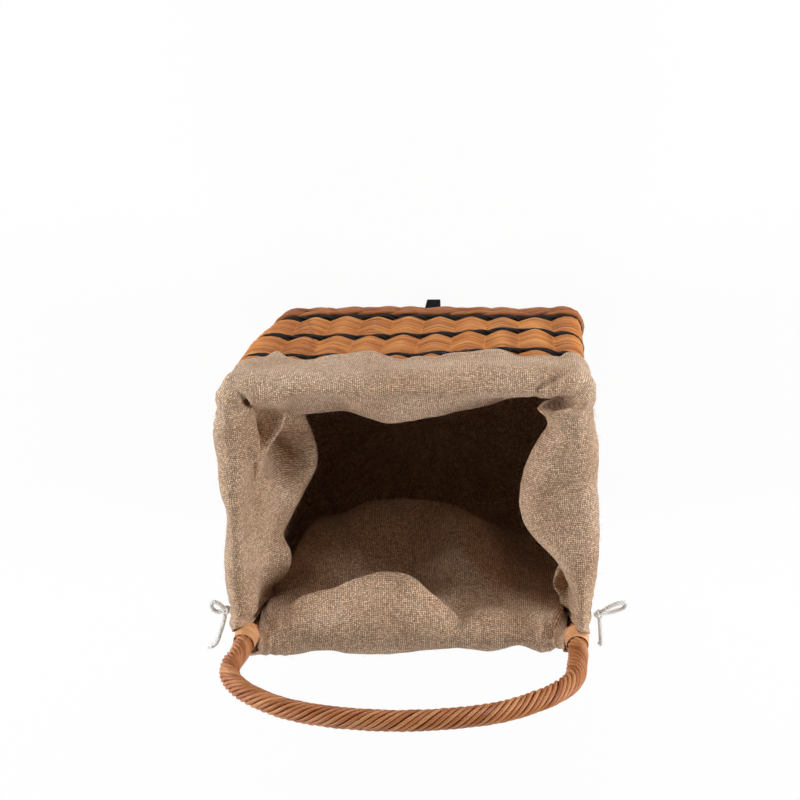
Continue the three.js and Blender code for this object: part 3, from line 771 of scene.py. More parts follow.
def corner_share(along, reach, corners):
    """How near each place is to one of the corners: one at the corner, nothing from reach on."""
    gaps = np.abs((np.asarray(along)[:, None] - corners + PERIMETER / 2) % PERIMETER - PERIMETER / 2)
    return np.clip(1 - gaps.min(axis=1) / reach, 0, 1)


print("stakes", STAKE_COUNT)


# %% Lean the walls
def z_range(node):
    """The lowest and the highest z of a CAD node."""
    low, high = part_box(node)
    return low[2], high[2]


BASE_Z = z_range("bottom_border")[0]
RIM_Z = z_range("top_border")[1]
# Both side walls stand proud beside their front corners. For each of them: the corner, the way out, and
# how far out at some heights.
CORNER_LEANS = (
    (CORNER_MARKS[0], 1, ((0.108, 0.150, 0.240, 0.360, 0.430), (0.002, 0.007, 0.012, 0.0115, 0.002))),
    (CORNER_MARKS[3], -1, ((0.108, 0.140, 0.250, 0.360), (0.002, 0.0045, 0.0030, 0))),
)
LEAN_ALONG = (-0.016, 0.004, 0.050, 0.120)


def soft_step(share):
    """A share from nothing to one, which starts and ends gently."""
    return share * share * (3 - 2 * share)


def corner_lean(along, z):
    """How far the wall is pushed sideways beside the front corners."""
    total = np.zeros(len(along))
    for mark, way, lean in CORNER_LEANS:
        past = way * ((np.asarray(along) - mark + PERIMETER / 2) % PERIMETER - PERIMETER / 2)
        share = np.interp(past, LEAN_ALONG, (0, 1, 1, 0))
        total += way * soft_step(share) * np.interp(z, *lean)
    return total


def ring_points(along, out, z):
    """Points at a distance out of the stake line and at a height, on walls that lean outwards."""
    point, normal, _, _ = ring_place(along)
    flat = point + normal * np.broadcast_to(out, len(along))[:, None]
    z = np.broadcast_to(z, len(along))
    flat[:, 0] += corner_lean(along, z)
    rise = (z - BASE_Z) / (RIM_Z - BASE_Z)
    return np.stack([flat[:, 0] * (1 + GROWTH_X * rise), flat[:, 1] * (1 + GROWTH_Y * rise), z], axis=1)


def ring_out(along):
    """The outward direction of the wall at those distances."""
    _, normal, _, _ = ring_place(along)
    return np.column_stack([normal, np.zeros(len(normal))])


print("the wall runs from", round(BASE_Z * 1000), "to", round(RIM_Z * 1000), "mm")

# %% [markdown]
# ## Willow bands
#
# Plain weave, called randing: each row passes outside one stake and inside the next, and the row above
# does the opposite. A bump map could fake it, but the scalloped outline of the wall comes from rods that
# really bulge. Each row is one tube round the basket, squeezed where rows cross between the stakes, and
# its colour changes behind a stake where the weaver laid in a new rod.

# %% Weave the bands
RANDING_SWING = 0.0064
ROWS_PER_BAND = 24
STEPS_PER_STAKE = 10
ROD_SQUEEZED = 0.00205
ROD_FULL = 0.0036
ROD_DEPTH = 0.0022
HUMP_POINT = 0.95
HUMP_SPREAD = 0.06
FULLNESS_POWER = 1.3
THICK_SPREAD = 0.06
THICK_LIMITS = (0.9, 1.1)
BAND_WANDER = 0.0006
ROW_WANDER = 0.00025
ROD_STAKES = (5, 9)
TINT_SPREAD = 0.17
TINT_LIMITS = (0.05, 0.95)
DRIFT_WAVES = 3


def ring_samples(per_stake):
    """Distances along the ring, evenly spread between each two stakes."""
    knots = np.append(STAKE_MARKS, PERIMETER)
    count = STAKE_COUNT * per_stake
    return np.interp(np.arange(count) / per_stake, np.arange(STAKE_COUNT + 1), knots)


def rod_tints(count, per_stake, draw, stakes):
    """A tint for each sample of a row: rods follow each other, each with a colour of its own.
    stakes is how many stakes a short and a long rod pass."""
    tints = np.zeros(count)
    at = 0
    while at < count:
        end = at + per_stake * draw.randint(*stakes)
        tints[at:end] = np.clip(draw.gauss(0.5, TINT_SPREAD), *TINT_LIMITS)
        at = end
    return tints


def random_phase(draw):
    """A place on a wave, picked at random, in radians."""
    return draw.uniform(0, 6.28)


def drift(along, draw, size):
    """A slow wander round the ring that joins up with itself."""
    total = np.zeros(len(along))
    for wave in range(1, DRIFT_WAVES + 1):
        height = draw.uniform(-1, 1)
        total += height * np.cos(2 * math.pi * wave * along / PERIMETER + random_phase(draw)) / wave
    return total * size


SQUARE_CORNER = 0.0060
SQUARE_Z = (0.130, 0.240)
# The front wall's bulge in millimetres at places along x, near the foot and further up.
LOW_SWELL = [(-182, 1), (-140, -0.5), (-110, 0), (-50, 1.5), (0, 2.2), (40, 3), (110, 3), (150, 2), (182, 0)]
FRONT_SWELL = [(-182, 0), (-152, 6), (-120, 8), (-90, 6.5), (-50, 4.5), (0, 2), (30, 1.2), (182, 1)]
SWELL_Z = (0.150, 0.235)


def square_share(along, corners):
    """One at the middle of a corner's bend, and nothing past its ends."""
    return np.sin(corner_share(along, ARC / 2, corners) * math.pi / 2)


def wall_sway(along, z):
    """How far the wall stands out of true: it squares up at the front corners and swells between them."""
    point, _, wall, _ = ring_place(along)
    right = square_share(along, CORNER_MARKS[:1]) * np.interp(z, SQUARE_Z, (0.3, 1))
    square = SQUARE_CORNER * (right + square_share(along, CORNER_MARKS[3:]))
    low, high = (np.interp(point[:, 0] * 1000, *zip(*swell)) / 1000 for swell in (LOW_SWELL, FRONT_SWELL))
    rise = np.interp(z, SWELL_Z, (0, 1))
    return square + (low + (high - low) * rise) * (wall == FRONT_WALL)


def weave_band(node, seed):
    """One band of randing, between the heights of its CAD node."""
    draw = random.Random(seed)
    low, high = z_range(node)
    along = ring_samples(STEPS_PER_STAKE)
    count = stake_number(along)
    wander = drift(along, draw, BAND_WANDER)
    pitch = (high - low) / ROWS_PER_BAND
    strands = Strands()
    for row in range(ROWS_PER_BAND):
        phase = 1 if row % 2 == 0 else -1
        wave = phase * np.arcsin(HUMP_POINT * np.cos(math.pi * count)) / math.asin(HUMP_POINT)
        per_hump = np.array([draw.gauss(1.0, HUMP_SPREAD) for _ in range(STAKE_COUNT + 1)])
        per_hump[-1] = per_hump[0]
        swing = RANDING_SWING * wave * np.interp(count, np.arange(STAKE_COUNT + 1), per_hump)
        fullness = np.abs(wave) ** FULLNESS_POWER
        thick = np.clip(draw.gauss(1.0, THICK_SPREAD), *THICK_LIMITS)
        half_up = (ROD_SQUEEZED + (ROD_FULL - ROD_SQUEEZED) * fullness) * thick
        z = low + (row + 0.5) * pitch + wander + draw.gauss(0, ROW_WANDER)
        line = ring_points(along, swing + wall_sway(along, z), z)
        tints = rod_tints(len(along), STEPS_PER_STAKE, draw, ROD_STAKES)
        strands.add(line, ring_out(along), ROD_DEPTH, half_up, tints, closed=True)
    dress(strands.make(f"{node}_weave"), willow["buff_willow"], replaced=[node])


for band in (1, 2, 3):
    weave_band(f"willow_band_{band}", 10 + band)

# %% [markdown]
# ## Black wales
#
# Between the bands three dyed rods are waled: each passes outside two stakes and inside one, and climbs
# over the other two as it goes, so together they make a rope that holds the rows in place. The rope keeps
# nearly the same distance from the wall, so the humps of the bands cover it at the stakes, and the black
# shows most in the hollows between them.

# %% Wale the black rods
WALE_STEPS = 10
STAKES_PER_TURN = 3
WALE_OUT = 0.0052
WALE_DIP = 0.0118
WALE_CLIMB = 0.0034
WALE_ROD = 0.0025
WALE_ROD_STAKES = (4, 8)
WALE_WANDER = 0.0008
ROD_BULGE = 0.0010
ROD_WANDER = 0.0006


def wale_rope(strands, middle, out, dip, climb, radius, slant, draw):
    """Three rods that run outside the stakes, and dip behind one stake in three, each in its turn."""
    along = ring_samples(WALE_STEPS)
    count = stake_number(along)
    wander = drift(along, draw, WALE_WANDER)
    for rod in range(3):
        turn = 2 * math.pi * (count + slant * rod) / STAKES_PER_TURN
        behind = np.clip(np.cos(turn), 0, 1) ** 2
        bulge = ROD_BULGE * np.cos(3 * turn + rod) + drift(along, draw, ROD_WANDER)
        z = middle + climb * slant * np.sin(turn) + wander
        line = ring_points(along, out + bulge - dip * behind + wall_sway(along, middle), z)
        tints = rod_tints(len(along), WALE_STEPS, draw, WALE_ROD_STAKES)
        strands.add(line, ring_out(along), radius, radius * 1.05, tints, sides=10, closed=True)


def black_wale(node, seed):
    """The three black rods at the middle height of their node."""
    draw = random.Random(seed)
    low, high = z_range(node)
    strands = Strands()
    wale_rope(strands, (low + high) / 2, WALE_OUT, WALE_DIP, WALE_CLIMB, WALE_ROD, 1, draw)
    dress(strands.make(f"{node}_rods"), willow["black_willow"], replaced=[node])


for wale in (1, 2, 3, 4):
    black_wale(f"black_wale_{wale}", 30 + wale)

# %% [markdown]
# ## Borders
#
# The foot and the rim are waled in the same way with thicker, redder rods. Two ropes lie on each other
# with opposite slants, which gives the plaited look of a strong edge.

# %% Wale the borders
BORDER_ROD = 0.0036
# For each border: how far out its rods run, how far they dip behind a stake, and the seed.
BORDERS = {"bottom_border": (0.0082, 0.0048, 41), "top_border": (0.0036, 0.0062, 42)}


def wale_border(node, out, dip, seed):
    """Two ropes, one above the other, that fill the height of their node."""
    draw = random.Random(seed)
    low, high = z_range(node)
    strands = Strands()
    climb = (high - low) / 4 - BORDER_ROD
    for level, slant in ((0.25, 1), (0.75, -1)):
        wale_rope(strands, low + (high - low) * level, out, dip, climb, BORDER_ROD, slant, draw)
    dress(strands.make(f"{node}_rods"), willow["border_willow"], replaced=[node])


for name, (out, dip, seed) in BORDERS.items():
    wale_border(name, out, dip, seed)

# %% [markdown]
# ## Handle
#
# The handle is a thick rod that runs down both back corners, with ten thin rods roped round it. The
# rods are helices: a point at a fixed distance from the core turns steadily as it moves along it. A
# frame carried along the bow without twisting keeps the lay even, also round the bends.

# %% Rope the handle
BINDING_LOW_Z, BINDING_HIGH_Z = z_range("left_handle_binding")
# Half of the handle's bow, from the leg to the top, as if the bow were in the middle.
BOW_RIGHT = [
    (0.1920, 0.1424, 0.5900), (0.1905, 0.1429, 0.6120), (0.1835, 0.1433, 0.6330),
    (0.1720, 0.1437, 0.6510), (0.1600, 0.1440, 0.6650), (0.1415, 0.1443, 0.6805),
    (0.1255, 0.1445, 0.6920), (0.0960, 0.1448, 0.7070), (0.0500, 0.1450, 0.7185),
]
BOW_TOP = (0, 0.1451, 0.7230)
BOW_SHIFT = 0.0033
ROPE_RODS = 10
ROPE_REACH = 0.0091
ROPE_ROD = 0.0023
ROPE_LAY = 0.088
ROPE_LOW_Z = RIM_Z - 0.004
ROPE_STEP = 0.0028
STRAIGHT_LEG = 0.022


def leg_point(side, z):
    """A point on the axis of the handle's leg at a back corner."""
    rise = (z - BASE_Z) / (RIM_Z - BASE_Z)
    return side * POST_X * (1 + GROWTH_X * rise), POST_Y * (1 + GROWTH_Y * rise), z


def bow_line():
    """The rope's middle line, from the right leg over the top to the left leg."""
    heights = (ROPE_LOW_Z, BINDING_HIGH_Z, BINDING_HIGH_Z + STRAIGHT_LEG)
    right_leg = [leg_point(1, z) for z in heights]
    left_leg = [leg_point(-1, z) for z in reversed(heights)]
    bow = [*BOW_RIGHT, BOW_TOP, *((-x, y, z) for x, y, z in reversed(BOW_RIGHT))]
    bow = [(x + BOW_SHIFT, y, z) for x, y, z in bow]
    return curve_through([*right_leg, *bow, *left_leg], ROPE_STEP)


def waver(far, draw, size, length):
    """A small wave along a rod, which starts anywhere."""
    return size * np.sin(far / length + random_phase(draw))


def rope_handle():
    """The rods of the handle, from the bindings up."""
    draw = random.Random(5)
    line = bow_line()
    across = carried_normals(line, (1, 0, 0))
    other = np.cross(tangents(line), across)
    far = distances(line)
    strands = Strands()
    for rod in range(ROPE_RODS):
        turn = -2 * math.pi * (far / ROPE_LAY + rod / ROPE_RODS)
        turn = turn + waver(far, draw, 0.05, 0.05)
        out = across * np.cos(turn)[:, None] + other * np.sin(turn)[:, None]
        reach = ROPE_REACH + draw.gauss(0, 0.00012) + waver(far, draw, 0.0002, 0.04)
        tint = np.clip(draw.gauss(0.5, 0.15) + waver(far, draw, 0.10, 0.09), *TINT_LIMITS)
        strands.add(line + out * reach[:, None], out, ROPE_ROD, ROPE_ROD * 1.03, tint)
    dress(strands.make("handle_rope"), willow["rope_willow"], replaced=["handle_wrap"])
    print("the handle's rope is", round(far[-1] * 1000), "mm long")


rope_handle()

# %% [markdown]
# ## Bindings
#
# Where the rope meets the rim, a wide strip of split willow is wound three times round the leg, each turn
# half over the last. A ribbon with a rounded section, wound along a slightly tilted spiral, gives the
# overlaps that a plain sleeve would miss.

# %% Wind the bindings
SKEIN_HALF_WIDTH = 0.0064
SKEIN_HALF_THICK = 0.00065
SKEIN_TURNS = 3.3
SKEIN_REACH = 0.0122
SKEIN_FLARE = 0.0018
SKEIN_TILT = 0.0016
SKEIN_POINTS = 160


def wind_binding(name, side, start):
    """A ribbon wound round the leg between the heights of the binding's node, from a turn called start."""
    turn = np.linspace(0, SKEIN_TURNS * 2 * math.pi, SKEIN_POINTS) + start
    share = np.linspace(0, 1, SKEIN_POINTS)
    low = np.array(leg_point(side, BINDING_LOW_Z + SKEIN_HALF_WIDTH * 0.8))
    high = np.array(leg_point(side, BINDING_HIGH_Z - SKEIN_HALF_WIDTH * 0.9))
    axis = unit(high - low)
    first = unit(np.cross(axis, np.array([0.0, 1.0, 0.0])))
    second = np.cross(axis, first)
    out = first * np.cos(turn)[:, None] + second * np.sin(turn)[:, None]
    reach = SKEIN_REACH + SKEIN_FLARE * (1 - share)
    tilt = SKEIN_TILT * np.sin(turn + 0.6)
    line = low + (high - low) * share[:, None] + out * reach[:, None] + axis * tilt[:, None]
    taper = np.clip(np.minimum(share, 1 - share) * 14, 0.25, 1.0)
    strands = Strands()
    strands.add(line, out, SKEIN_HALF_THICK, SKEIN_HALF_WIDTH * taper, 0.5, sides=12)
    dress(strands.make(f"{name}_skein"), peeled_willow, replaced=[name])


wind_binding("right_handle_binding", 1, 0.7)
wind_binding("left_handle_binding", -1, 2.4)

# %% [markdown]
# ## Jute liner
#
# The liner is a bag, wider than the basket, whose top is turned over the rim as a cuff. Its slack lies in
# soft rolls: it hangs into the basket along the front and the left side, billows at the back wall, and
# folds at the corners. Cloth simulation would find folds of its own, so the sheet is lofted instead: at
# every place round the rim a profile runs from the hem over the rim to the floor, and short lists say how
# far it bulges there. Smoothing and noise then make it cloth.

# %% How far the cloth bulges
# Each list holds (place along the wall, bulge) in millimetres: x on the front and back, y on the sides.
# The inner bulges are measured into the basket from the wall's inner face, the cuff's away from it, and
# the hem says how far the cloth's lower edge comes down and out.
LINER_BULGES = {
    "right": {
        "hem": [(-118, 1), (-85, 6), (-55, 1), (-15, 8), (25, 3), (65, 9), (108, 4)],
        "cuff": [(-118, 2), (-98, 7), (-69, 7), (-26, 4), (-5, -1), (10, -1), (33, 2), (93, 4), (108, 2)],
        "edge": [(-118, 0), (-104, 3), (-87, 8), (-65, 9), (-46, 2), (-25, -2), (35, -2), (108, 0)],
        "tuck": [(-118, -2), (-104, -1), (-87, 0), (-65, 0), (-46, 0), (-5, 2), (55, 1), (108, 0)],
        "under": [(-118, 42), (-91, 37), (-74, 26), (-56, 12), (-39, 7), (-5, 10), (52, 7), (108, 3)],
        "hollow": [
            (-118, 15), (-91, 7), (-64, 4), (-39, 15), (-5, 24), (25, 18), (43, 18), (62, 31), (84, 32),
            (100, 20), (108, 8),
        ],
        "upper": [
            (-118, 40), (-81, 57), (-60, 61), (-43, 62), (-18, 57), (17, 38), (41, 24), (60, 12), (80, 8),
            (108, 4),
        ],
        "deep": [(-118, 20), (-55, 36), (-5, 32), (55, 16), (108, 4)],
    },
    "back": {
        "hem": [(-166, 3), (-120, 8), (-70, 1), (-20, 7), (40, 2), (90, 9), (130, 3), (166, 5)],
        "cuff": [
            (-166, -2), (-151, 6), (-116, -3), (-88, 5), (-47, 2), (-12, 7), (69, 10), (87, 7), (128, 10),
            (147, 11), (166, 10),
        ],
        "edge": [
            (-166, 8), (-140, 8), (-109, 10), (-87, 16), (-67, 10), (-54, 2), (-44, 9), (-22, 30), (-3, 48),
            (22, 56), (50, 53), (86, 38), (122, 25), (147, 10), (166, 8),
        ],
        "tuck": [
            (-166, 8), (-140, 8), (-109, 9), (-87, 12), (-67, 7), (-54, 1), (-44, 7), (-22, 22), (-3, 36),
            (22, 42), (50, 39), (86, 27), (122, 17), (147, 8), (166, 8),
        ],
        "under": [
            (-166, 8), (-138, 8), (-109, 9), (-67, 10), (-22, 14), (22, 16), (60, 12), (122, 9), (166, 8),
        ],
        "hollow": [
            (-166, 8), (-138, 8), (-109, 11), (-75, 28), (-45, 24), (-10, 9), (25, 6), (60, 9), (113, 12),
            (166, 8),
        ],
        "upper": [
            (-166, 6), (-135, 5), (-109, 12), (-85, 38), (-55, 52), (-15, 42), (20, 36), (60, 36), (100, 38),
            (138, 26), (166, 8),
        ],
        "deep": [
            (-166, 6), (-135, 4), (-110, 14), (-78, 47), (-46, 66), (-2, 76), (32, 78), (64, 74), (97, 57),
            (138, 44), (160, 10),
        ],
    },
    "left": {
        "hem": [(-118, 7), (-90, 2), (-55, 8), (-20, 2), (20, 7), (55, 1), (90, 6), (108, 3)],
        "cuff": [(-118, -4), (-87, 0), (-73, 3), (-54, 4), (-28, 3), (1, 3), (47, 5), (79, 1), (108, -4)],
        "edge": [
            (-118, 35), (-102, 22), (-80, 33), (-50, 47), (-18, 52), (11, 48), (33, 35), (60, 11), (78, 2),
            (95, -3), (108, -2),
        ],
        "tuck": [
            (-118, 31), (-102, 19), (-80, 29), (-50, 42), (-18, 47), (11, 43), (33, 30), (60, 6), (78, -2),
            (95, -2), (108, -1),
        ],
        "under": [(-118, 18), (-78, 18), (-12, 34), (42, 20), (66, 9), (84, 14), (98, 16), (108, 8)],
        "hollow": [(-118, 6), (-12, 14), (55, 6), (108, 3)],
        "upper": [(-118, 4), (-5, 10), (108, 4)],
        "deep": [(-118, 4), (-5, 10), (108, 4)],
    },
    "front": {
        "hem": [
            (-166, -2), (-142, -4), (-121, -6), (-98, 4), (-67, 3), (-40, 2), (-28, -1), (-4, 1), (12, -2),
            (27, 2), (46, 9), (77, 5), (91, 4), (111, -1), (128, -1), (142, 2), (157, 9), (166, 2),
        ],
        "cuff": [(-166, 0), (-75, 3), (-30, 1), (10, 3), (80, 0), (130, 3), (166, 0)],
        "edge": [
            (-166, -6), (-123, -6), (-87, -6), (-59, -6), (-37, -6), (-2, -6), (22, -2), (44, 4), (65, -5),
            (94, -6), (123, -1), (140, 7), (166, 8),
        ],
        "tuck": [
            (-166, -4), (-123, -4), (-87, 1), (-59, 6), (-28, 14), (2, 15), (44, 18), (70, 9), (123, 12),
            (166, 12),
        ],
        "under": [
            (-166, -4), (-144, -5), (-115, 5), (-86, 14), (-57, 20), (-28, 27), (2, 31), (26, 31), (48, 25),
            (70, 20), (99, 21), (129, 22), (146, 19), (166, 14),
        ],
        "hollow": [(-166, 2), (0, 5), (166, 4)],
        "upper": [(-166, 2), (0, 6), (166, 4)],
        "deep": [(-166, 2), (0, 6), (166, 2)],
    },
}
# How far below the rim each wall's bulges called edge, tuck and under are, in millimetres.
BULGE_DROPS = {"right": (14, 27, 40), "back": (14, 27, 40), "left": (16, 29, 44), "front": (8, 28, 50)}
CORNER_DROPS = (12, 27, 44)
DROP_REACH = 0.05
OUTER_KEYS = ("hem", "cuff")
# What the bulges are drawn in to at the corners. The hem has one for the right side and one for the left.
CORNER_HEMS = (-1, 4)
CORNER_BULGE = {"cuff": 0, "edge": -4, "tuck": -3, "under": -2, "hollow": 0, "upper": 1, "deep": 1}
INNER_KEYS = ("edge", "tuck", "under", "hollow", "upper", "deep")
CORNER_SPREAD = math.radians(16)


def smooth_list(stations, at):
    """A smooth curve through the stations, read off at those places."""
    place = np.array([s[0] for s in stations], float)
    value = np.array([s[1] for s in stations], float)
    slope = np.gradient(value, place)
    at = np.clip(at, place[0], place[-1])
    i = np.clip(np.searchsorted(place, at) - 1, 0, len(place) - 2)
    wide = place[i + 1] - place[i]
    t = (at - place[i]) / wide
    rise = (2 * t**3 - 3 * t**2 + 1) * value[i] + (-2 * t**3 + 3 * t**2) * value[i + 1]
    lean_in = (t**3 - 2 * t**2 + t) * wide * slope[i] + (t**3 - t**2) * wide * slope[i + 1]
    return rise + lean_in


print("lists for the walls", *LINER_BULGES)


# %% Read off the bulges
def bulge_at(key, along):
    """The bulge called key at those distances along the ring, in metres, drawn in at the corners."""
    point, _, wall, slide = ring_place(along)
    # The ring runs against x on the back wall, and against y on the left one.
    found = np.zeros(len(along))
    for number, name in enumerate(WALL_NAMES):
        here = wall == number
        run = WALL_RUNS[number] * 1000
        across = slide[here] * 1000 * (-1 if number in (BACK_WALL, LEFT_WALL) else 1)
        inside = np.clip(across, -run / 2, run / 2)
        past = (np.abs(across) - np.abs(inside)) / 1000 / RING_CORNER
        share = soft_step(np.clip(past / CORNER_SPREAD, 0, 1))
        if key in OUTER_KEYS:
            share = np.where(point[here, 1] > 0, 0, share)
        wanted = smooth_list(LINER_BULGES[name][key], inside)
        corner = np.where(point[here, 0] > 0, *CORNER_HEMS) if key == "hem" else CORNER_BULGE[key]
        found[here] = wanted + (corner - wanted) * share
    return found / 1000


def bulge_drops(along):
    """The drops of the three inner bulges at those distances, even at the corners, in metres."""
    _, _, wall, _ = ring_place(along)
    own = np.array([BULGE_DROPS[WALL_NAMES[number]] for number in wall], float)
    share = corner_share(along, DROP_REACH, CORNER_MARKS)[:, None]
    return ((1 - share) * own + share * np.array(CORNER_DROPS)).T / 1000


print("bulge of the cloth at the middle of each wall:")
for number, name in enumerate(WALL_NAMES):
    middle = sum(WALL_RUNS[:number]) + ARC * (number + 0.5) + WALL_RUNS[number] / 2
    print(" ", name, [round(float(bulge_at(k, [middle])[0]) * 1000) for k in CORNER_BULGE], "mm")

# %% [markdown]
# ### The profile of the cloth
#
# Thirteen heights carry the profile from the hem to the floor, and a smooth curve joins them. The two back
# corners are cut open from the hem to just inside the rim, so that the handle's legs can pass: near a
# cut the columns of the sheet are drawn away from the corner, and further down they meet again.

# %% The profile of the cloth
LINER_CLEAR = 0.0135
HEM_OUT = 0.0100
HEM_Z = RIM_Z - 0.112
CUFF_Z = RIM_Z - 0.062
SHOULDER_Z = RIM_Z - 0.012
CREST_Z = RIM_Z + 0.0105
UPPER_Z = RIM_Z - 0.108
DEEP_Z = RIM_Z - 0.200
LOW_Z = RIM_Z - 0.310
FLOOR_Z = BASE_Z + 0.0185
CREST_WAVE = 0.0022
CREST_RATE = 31
HOLLOW_DROP = 0.026
# The crest rises towards the back corners, less on the back wall, and sinks at the front ones.
BACK_LIFT = 0.007
SIDE_LIFT = 0.018
LIFT_REACH = 0.045
FRONT_SINK = 0.0050
SINK_REACH = 0.030
PLEAT = 0.0020
PLEAT_RATE = 520
PLEAT_REACH = 0.055
# Pockets in the cloth: the wall, the bulge that sinks there, and the pocket's y, reach and depth.
POCKETS = (
    ("right", "tuck", -0.088, 0.034, 0.028),
    ("right", "hollow", -0.055, 0.034, 0.056),
    ("left", "tuck", 0.093, 0.020, 0.028),
)


def pocket_dip(key, wall, slide):
    """How far the bulge called key sinks in the pockets of the side walls, in metres."""
    total = np.zeros(len(wall))
    for name, sunk_key, y, reach, depth in POCKETS:
        if sunk_key == key:
            number = WALL_NAMES.index(name)
            here = slide if number == RIGHT_WALL else -slide
            total += np.where(wall == number, depth * np.exp(-(((here - y) / reach) ** 2)), 0)
    return total


def liner_profile(along):
    """Thirteen (out, z) pairs for every column, from the hem over the rim to the floor."""
    hem = bulge_at("hem", along)
    cuff = bulge_at("cuff", along)
    inner = {key: -LINER_CLEAR - bulge_at(key, along) for key in INNER_KEYS}
    edge_drop, tuck_drop, under_drop = bulge_drops(along)
    _, _, wall, slide = ring_place(along)
    tuck_dip = pocket_dip("tuck", wall, slide)
    hollow_dip = pocket_dip("hollow", wall, slide)
    square = SQUARE_CORNER * square_share(along, FRONT_CORNERS)
    sway = wall_sway(along, RIM_Z) - square
    rise = np.where(wall == BACK_WALL, BACK_LIFT, SIDE_LIFT)
    lift = rise * corner_share(along, LIFT_REACH, BACK_CORNERS) ** 2
    sunk = FRONT_SINK * corner_share(along, SINK_REACH, FRONT_CORNERS)
    pleat = PLEAT * np.sin(along * PLEAT_RATE) * corner_share(along, PLEAT_REACH, CORNER_MARKS)
    crest_out = 0.25 * inner["edge"] + 0.5 * (LINER_CLEAR + cuff) + 0.4 * square
    crest_z = CREST_Z + CREST_WAVE * np.sin(along * CREST_RATE) - sunk + lift + pleat * 0.6
    flat = np.ones(len(along))
    return [
        (HEM_OUT + 0.56 * hem + square + sway, HEM_Z - 1.6 * hem),
        (LINER_CLEAR - 0.0005 + 0.3 * cuff + square + sway, CUFF_Z * flat),
        (LINER_CLEAR + 0.0010 + cuff + square + pleat + sway, SHOULDER_Z + 0.6 * lift),
        (crest_out, crest_z),
        (0.40 * crest_out + 0.60 * inner["edge"], crest_z - 0.0055),
        (inner["edge"] + pleat, RIM_Z - edge_drop + 0.7 * lift),
        (inner["tuck"], RIM_Z - tuck_drop + 0.3 * lift - tuck_dip),
        (inner["under"], RIM_Z - under_drop),
        (inner["hollow"], RIM_Z - under_drop - HOLLOW_DROP - hollow_dip),
        (inner["upper"], UPPER_Z * flat),
        (inner["deep"], DEEP_Z * flat),
        ((-LINER_CLEAR - 0.010) * flat, LOW_Z * flat),
        ((-LINER_CLEAR - 0.004) * flat, FLOOR_Z * flat),
    ]


front_middle = PERIMETER - ARC / 2 - WALL_RUNS[FRONT_WALL] / 2
profile = liner_profile(np.array([front_middle]))
print("profile at the front, out and up, in mm:")
print([(round(float(out[0]) * 1000), round(float(z[0]) * 1000)) for out, z in profile])


# %% Loft the strips
COLUMN_STEP = 0.0024
ROWS_PER_SPAN = (12, 9, 5, 5, 6, 5, 5, 6, 8, 14, 12, 8)
CUT_REACH = 0.060
LEG_CLEAR = 0.0152
# How far the sheet is drawn away from a back corner at each height of the profile.
CUT_WIDTHS = (0.0025, 0.0025, 0.0060, LEG_CLEAR, LEG_CLEAR, 0.0100, 0.0040, 0, 0, 0, 0, 0, 0)
BACK_RIGHT = WALL_RUNS[0] + ARC
BACK_LEFT = BACK_RIGHT + WALL_RUNS[1] + ARC


def profile_rows(values):
    """Rows of a smooth curve through the profile's values, column by column."""
    values = np.array(values)
    padded = np.vstack([2 * values[:1] - values[1:2], values, 2 * values[-1:] - values[-2:-1]])
    rows = []
    for span, count in enumerate(ROWS_PER_SPAN):
        p0, p1, p2, p3 = padded[span:span + 4]
        for t in np.arange(count) / count:
            fall = 2 * p1 + (p2 - p0) * t + (2 * p0 - 5 * p1 + 4 * p2 - p3) * t * t
            rows.append(0.5 * (fall + (3 * p1 - p0 - 3 * p2 + p3) * t**3))
    rows.append(values[-1])
    return np.array(rows)


def cut_widths():
    """The widths of the cut, row by row."""
    stops = np.cumsum((0, *ROWS_PER_SPAN))
    return np.interp(np.arange(stops[-1] + 1), stops, CUT_WIDTHS)


def loft_strip(start, end):
    """Points of one strip, row by row, between two cut corners."""
    along = np.linspace(start, end, round((end - start) / COLUMN_STEP) + 1)
    profile = liner_profile(along)
    out = profile_rows([pair[0] for pair in profile])
    z = profile_rows([pair[1] for pair in profile])
    pull = np.clip(1 - (along - start) / CUT_REACH, 0, 1) - np.clip(1 - (end - along) / CUT_REACH, 0, 1)
    rows = [ring_points(along + wide * pull, out[row], z[row]) for row, wide in enumerate(cut_widths())]
    return np.array(rows)


def soften(grid, rounds):
    """Evens out the sheet, leaving the hem, the cut edges and the bottom row in place."""
    for _ in range(rounds):
        middle = grid[1:-1, 1:-1]
        around = grid[:-2, 1:-1] + grid[2:, 1:-1] + grid[1:-1, :-2] + grid[1:-1, 2:]
        grid[1:-1, 1:-1] = 0.5 * middle + 0.125 * around
    return grid


def outward_normals(grid):
    """The direction out of the sheet at every point, upwards on its crest."""
    normals = unit(np.cross(np.gradient(grid, axis=0), np.gradient(grid, axis=1)))
    crest = np.argmax(grid[..., 2].mean(axis=1))
    return normals * np.sign(normals[crest, :, 2].mean())


print("rows from the hem to the floor", len(cut_widths()))

# %% [markdown]
# ### Folds and dents
#
# The clearest folds of the picture are drawn as lines on the plane of the rim, and lift or sink the cloth
# along them. All the rest is noise: broad dents from the way the bag was pressed in, and fine ones from
# the stiffness of the jute.

